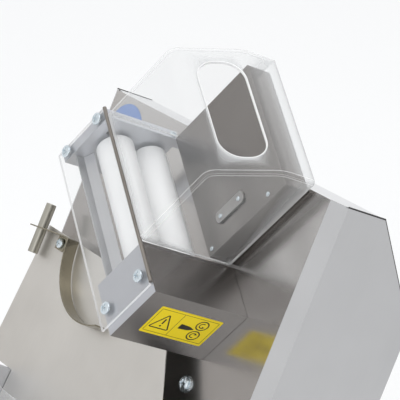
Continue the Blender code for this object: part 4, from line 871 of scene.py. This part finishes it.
def hood_points():
    """The hood's outer face as one grid. Its bent line runs from the low edge over the slope to the back
    edge. Across, each row goes from the open corner out over an end wall to the line drawn in by the
    edge's radius r, then round that edge, where it is drawn in by r (1 - sin q) and has moved
    r (1 - cos q) along, then straight to the other end."""
    line = softened(HOOD_LINE, HOOD_BEND, ROUND_STEPS)
    straight = np.linspace(line[0], line[1], LOW_STEPS, endpoint=False)
    line = np.vstack([straight, line[1:]])
    inward = beside(line, closed=False)
    corner = np.array((HOOD_LINE[0][0], HOOD_LINE[-1][1]))
    q = np.linspace(0, np.pi / 2, ROUND_STEPS)
    ends = []
    for end, sign in ((HOOD_ENDS[0], 1), (HOOD_ENDS[1], -1)):
        rim = line + HOOD_EDGE * inward
        wall = corner + (rim - corner) * np.linspace(0, 1, WALL_STEPS, endpoint=False)[:, None, None]
        wall_a = end + 0 * wall[..., 0]
        bend = line + (HOOD_EDGE * (1 - np.sin(q)))[:, None, None] * inward
        bend_a = end + sign * HOOD_EDGE * (1 - np.cos(q))[:, None] + 0 * bend[..., 0]
        ends.append((np.concatenate([wall, bend]), np.concatenate([wall_a, bend_a])))
    flat = np.concatenate([ends[0][0], ends[1][0][::-1]])
    along = np.concatenate([ends[0][1], ends[1][1][::-1]])
    return head(along, flat[..., 0], flat[..., 1])


hood_mesh = skinned("hood_shell", hood_points(), clear_sheet)
slope_foot, slope_top = np.array(HOOD_LINE[1]), np.array(HOOD_LINE[2])
slope_way = (slope_top - slope_foot) / np.linalg.norm(slope_top - slope_foot)
slope_middle = (slope_foot + slope_top) / 2 + FEED_ABOVE * slope_way
slope_up = slope_way[0] * FEED + slope_way[1] * INTO
slope = placed(head(sum(HOOD_ENDS) / 2, *slope_middle), ALONG, slope_up, np.cross(ALONG, slope_up))
feed_loop = loop_of(*FEED_SIZE, FEED_ROUND, steps=12)
cutter = slab("hood_feed_cutter", feed_loop, -CUT_HALF, CUT_HALF, slope, clear_sheet)
wall = hood_mesh.modifiers.new("wall", "SOLIDIFY")
wall.thickness = HOOD_SHEET * MM
wall.offset = -1.0
wall.material_offset_rim = 1
hood_mesh.data.materials.append(cut_edge_painted_highlight)
opening = hood_mesh.modifiers.new("feed opening", "BOOLEAN")
opening.object = cutter
graph = bpy.context.evaluated_depsgraph_get()
shell = bpy.data.meshes.new_from_object(hood_mesh.evaluated_get(graph))
hood_mesh.modifiers.clear()
hood_mesh.data = shell
bpy.data.objects.remove(cutter)


def bend_highlight_strips(normals):
    """The first and the last strip of each end wall's bend, by the share of the normal that lies along the
    rollers. They get a white finish as a painted highlight, where the bent plastic catches the light."""
    lean = np.abs(normals @ ALONG)
    first = (lean > FIRST_STRIP[0]) & (lean < FIRST_STRIP[1])
    last = (lean > LAST_STRIP[0]) & (lean < LAST_STRIP[1])
    return first | last


refinish(hood_mesh, bend_highlight_strips, bend_painted_highlight)
settle(hood_mesh, "hood")
# a bead round the feed opening in the white cut-edge finish, a painted highlight along the opening's lip
bead = loop_of(1.5, HOOD_SHEET + 0.3, radius=0.7, steps=5)
outside = np.sign(np.cross(ALONG, slope_up) @ INTO)
rim_section = bead + np.array((0, outside * HOOD_SHEET / 2))
feed_rim = swept("hood_feed_rim", feed_loop, rim_section, slope, cut_edge_painted_highlight, closed=True)
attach(feed_rim, "hood")

eased("lower_guard", "sheet", clear_sheet, width=0.5)

# ---------------------------------------------------------------------------------------------------
# Screws of the front cover, of the far plate and of the front panel, and the hinge rod. Zinc-plated steel
# with a cross recess; the four on the cover stand on the clear sheet.

SCREW = 6.8
SCREW_TALL = 4.2
SCREW_CROSS = 1.9
for i in range(4):
    node = "cover_bolt_%d" % (i + 1)
    place = points_of(node).mean(axis=0)
    low = reach(node, place, INTO)[0]
    seat = place + (low + SCREW_TALL) * MM * INTO
    settle(domed(node + "_head", seat, -INTO, SCREW, SCREW_TALL, zinc, SCREW_CROSS), node)
PANEL_SCREW = (108.3, -96.4)
WASHER, WASHER_THICK = 9.4, 1.6
washer = [(0, 0), (0, WASHER), (WASHER_THICK, WASHER), (WASHER_THICK, 0)]
washer_profile = softened(washer, radius=0.5, steps=3)
washer_piece = turned("panel_washer", washer_profile, panel(*PANEL_SCREW, 0.0), -INTO, zinc, count=48)
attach(washer_piece, "body")
panel_screw = domed(
    "panel_screw", panel(*PANEL_SCREW, WASHER_THICK), -INTO, 7.5, height=4.5, look=zinc, cross=SCREW_CROSS
)
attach(panel_screw, "body")
plate_edge = reach("far_plate", head(0, 0, 0), FEED)[1]
plate_screw_seat = head(242.0, plate_edge, 91.0)
plate_screw = domed("far_plate_screw", plate_screw_seat, FEED, 4.0, height=2.2, look=zinc, cross=1.0)
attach(plate_screw, "body")
rod_steel = brushed("drawn_steel_rod", "#8f8983", "#7b756f", roughness=0.3, along=ALONG)
coated("hood_hinge_rod", rod_steel)

# ---------------------------------------------------------------------------------------------------
# Gap knobs. Small moulded black grips with twelve shallow flutes and a raised pointer, one for each pair
# of rollers, on a spindle that shifts the sliding blocks.

knob_plastic = moulded("black_moulded_grip", "#17171a", roughness=0.42, grain=0.6, depth=0.02)
KNOB = 12.0
KNOB_STEPS = 120
FLUTES = 12
FLUTE_DEEP = 0.05
RIM_START, RIM_END = 1.2, 5.6
POINTER_FOOT, POINTER_TOP = 8.4, 10.4


def knob(node, joint):
    """A knob on its joint's axis. Its rim is drawn in by FLUTE_DEEP (0.5 - 0.5 cos (FLUTES t)) squared, as a
    share of its radius."""
    base, axis = place_of(joint), axis_of(joint)
    outline = [(1, 0), (1, KNOB - 1.0), (1.8, KNOB), (5, KNOB), (5.8, KNOB - 1.6), (8.4, KNOB - 2.6)]
    profile = softened([*outline, (9, KNOB - 4), (9, 0)], radius=0.8, steps=4)
    distance, radius = profile[:, :1], profile[:, 1:]
    t = np.linspace(0, 2 * np.pi, KNOB_STEPS, endpoint=False)
    fluted = (distance > RIM_START) & (distance < RIM_END) & (radius > KNOB - 2)
    shape = 1 - FLUTE_DEEP * fluted * (0.5 - 0.5 * np.cos(FLUTES * t)) ** 2
    settle(turned(node + "_grip", profile, base, axis, knob_plastic, KNOB_STEPS, shape), node)
    side, other = across(axis)
    face = placed(base, side, other, axis)
    rib = loop_of(3.0, 2 * KNOB - 8, radius=1.4)
    pointer = slab(node + "_pointer", rib, POINTER_FOOT, POINTER_TOP, face, knob_plastic)
    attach(pointer, frame["nodes"][node]["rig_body"])


knob("gap_knob", "upper_gap_turn")

# ---------------------------------------------------------------------------------------------------
# Chute. A flat stainless sheet on two standoffs that leads the dough from the upper rollers down to the
# lower ones. Its brushing runs down the slope and has worn to an even warm satin.

chute_steel = brushed("worn_satin_chute", "#dddad5", "#d2cfca", roughness=0.46, along=RISE, spread=0.05)
eased("chute_plate", "sheet", chute_steel, width=0.4)

# ---------------------------------------------------------------------------------------------------
# Rocker. A 1.5 mm stainless strip rolled to an arc, whose straight tab carries a round steel weight. The
# dough pushes the arc aside and turns with it. It swings on a bolt in the chute.

CHUTE_OUT = axis_of("rocker_swing")
CHUTE_UP = np.cross(CHUTE_OUT, X)
strip_steel = brushed(
    "rolled_steel_strip", "#96907f", "#8c8677", roughness=0.16, along=CHUTE_OUT, spread=0.02
)
eased("rocker_arm", "strip", strip_steel, width=0.25)

TAB_LEAN = math.atan2(9.7, 75.5)  # how far the tab's end lies to the side, over how far up
weight_axis = math.cos(TAB_LEAN) * CHUTE_UP - math.sin(TAB_LEAN) * X
weight_middle = points_of("rocker_weight").mean(axis=0)
WEIGHT_HALF = 30.0
WEIGHT_RADIUS = 6.0
bar = [(-WEIGHT_HALF, 0), (-WEIGHT_HALF, WEIGHT_RADIUS), (WEIGHT_HALF, WEIGHT_RADIUS), (WEIGHT_HALF, 0)]
bar_profile = softened(bar, radius=0.9)
weight_steel = brushed("drawn_steel_bar", "#b4b1a7", "#9a978d", roughness=0.33, along=CHUTE_UP)
weight = turned("rocker_weight_bar", bar_profile, weight_middle, weight_axis, weight_steel, count=56)
settle(weight, "rocker_weight")

PIVOT_HEAD = 4.2
pivot = place_of("rocker_swing")
pivot_top = reach("rocker_pivot_bolt", pivot, CHUTE_OUT)[1]
pivot_seat = pivot + (pivot_top - PIVOT_HEAD) * MM * CHUTE_OUT
pivot_bolt = domed("rocker_pivot_bolt_head", pivot_seat, CHUTE_OUT, 6.0, PIVOT_HEAD, zinc, cross=1.6)
settle(pivot_bolt, "rocker_pivot_bolt")

# ---------------------------------------------------------------------------------------------------
# Lower stage. A second pair of acetal rollers runs level between two milled cheeks, with a folded steel
# cover over its gears and a folded plate under it that the finished dough slides out over.

LOWER_RADIUS = 21.0
CHEEK_GAP = 3.0
left = reach("lower_cheek_left", 0 * X, X)
right = reach("lower_cheek_right", 0 * X, X)
for node, joint in (("lower_rear_roller", "lower_rear_spin"), ("lower_front_roller", "lower_front_spin")):
    ends = reach(node, 0 * X, X)
    roller(node, joint, left[1] + CHEEK_GAP, right[0] - CHEEK_GAP, ends, LOWER_RADIUS, X)
for node in ("lower_cheek_left", "lower_cheek_right", "lower_slider_left", "lower_slider_right"):
    eased(node, "milling", plate_aluminium, width=0.5)
gear_cover_steel = brushed("satin_stainless_gear_cover", "#c8c7c6", "#b5b4b3", roughness=0.3, along=X)
eased("lower_gear_cover", "sheet", gear_cover_steel, width=0.8)
eased("discharge_plate", "sheet", chute_steel, width=0.4)
knob("lower_gap_knob", "lower_gap_turn")

# ---------------------------------------------------------------------------------------------------
# Motor. A cast aluminium housing with cooling fins, sprayed with dark grey enamel, which is bolted to the
# drive's side plate inside the body. The enamel is even in colour, with the faint bumps of sprayed paint.

enamel = moulded("dark_grey_enamel", "#3c4044", roughness=0.5, grain=1.5, depth=0.04)
coated("motor", enamel)

# ---------------------------------------------------------------------------------------------------
# Studio. A pale matt floor that runs out of sight, even white surroundings, a soft light from above and a
# weaker one from the front right. The steel on the left mirrors a grey card, which nothing else sees.

FLOOR = 14.0  # metres from the middle to each side
floor_look = finish("pale_floor", Base_Color=linear("#f7f7f7"), Roughness=0.9)[0]
floor_ends = np.array((-FLOOR, FLOOR))
floor_grid = np.stack(np.meshgrid(floor_ends, floor_ends), -1)
floor_points = np.concatenate([floor_grid, 0 * floor_grid[..., :1]], -1)
skinned("floor", floor_points, floor_look)

room = bpy.data.worlds.new("studio")
bpy.context.scene.world = room
room.use_nodes = True
background = room.node_tree.nodes["Background"]
background.inputs["Color"].default_value = linear("#f6f7f8")
background.inputs["Strength"].default_value = 1.05


def card(name, place, target, size, colour):
    """A square matt card of the given size in metres that faces a point. Steel mirrors it, and it doesn't
    show, cast a shadow or tint anything. Each corner is the place plus or minus half the size both ways."""
    away = np.array(target, float) - np.array(place, float)
    away = away / np.linalg.norm(away)
    side, other = across(away)
    corners = np.array((((-0.5, -0.5), (0.5, -0.5)), ((-0.5, 0.5), (0.5, 0.5)))) * size
    points = np.array(place, float) + corners[..., :1] * side + corners[..., 1:] * other
    look = finish(name, Base_Color=linear(colour), Roughness=1.0)[0]
    board = skinned(name, points, look)
    board.visible_shadow = False
    board.visible_diffuse = False
    board.visible_camera = False


card("grey_card_left", place=(-2.6, -1.9, -0.15), target=(0, 0, 0), size=2.3, colour="#b3aeaa")


def softbox(name, place, target, size, power):
    """A square area light of the given size in metres, aimed at a point."""
    lamp = bpy.data.lights.new(name, "AREA")
    lamp.size = size
    lamp.energy = power
    made = bpy.data.objects.new(name, lamp)
    bpy.context.scene.collection.objects.link(made)
    away = np.array(place, float) - np.array(target, float)
    away = away / np.linalg.norm(away)
    side, other = across(away)
    turn = Matrix(np.array((side, other, away)).T.tolist()).to_4x4()
    made.matrix_world = Matrix.Translation(place) @ turn


MACHINE_MIDDLE = (0, 0, 0.4)
softbox("overhead", (0.9, -0.2, 3.0), MACHINE_MIDDLE, size=2.2, power=16.0)
softbox("front_right", (2.6, -3.0, 1.6), MACHINE_MIDDLE, size=1.8, power=10.0)

# ---------------------------------------------------------------------------------------------------
# Camera. A long lens looks from the front right and a little above. It closes in on the upper head, so the
# hood fills the middle of the view and the body runs out of it to the right and below.

AZIMUTH = math.radians(58.5)
ELEVATION = math.radians(20.1)
DISTANCE = 2.31
FOCAL_LENGTH = 207.9
RIGHT_OF_HINGE = 44.5  # the view's middle from the hinge's near end
ABOVE_HINGE = 91.5
back = np.array(
    (
        math.sin(AZIMUTH) * math.cos(ELEVATION),
        -math.cos(AZIMUTH) * math.cos(ELEVATION),
        math.sin(ELEVATION),
    )
)
rightward = np.array((math.cos(AZIMUTH), math.sin(AZIMUTH), 0.0))
upward = np.cross(back, rightward)
middle = head(0, 0, 0) + MM * (RIGHT_OF_HINGE * rightward + ABOVE_HINGE * upward)
lens = bpy.data.cameras.new("camera")
lens.sensor_width = 36.0
lens.lens = FOCAL_LENGTH
camera = bpy.data.objects.new("camera", lens)
bpy.context.scene.collection.objects.link(camera)
facing = Matrix(np.array((rightward, upward, back)).T.tolist()).to_4x4()
camera.matrix_world = Matrix.Translation((middle + DISTANCE * back).tolist()) @ facing
bpy.context.scene.camera = camera
bpy.context.scene.view_settings.view_transform = "Standard"
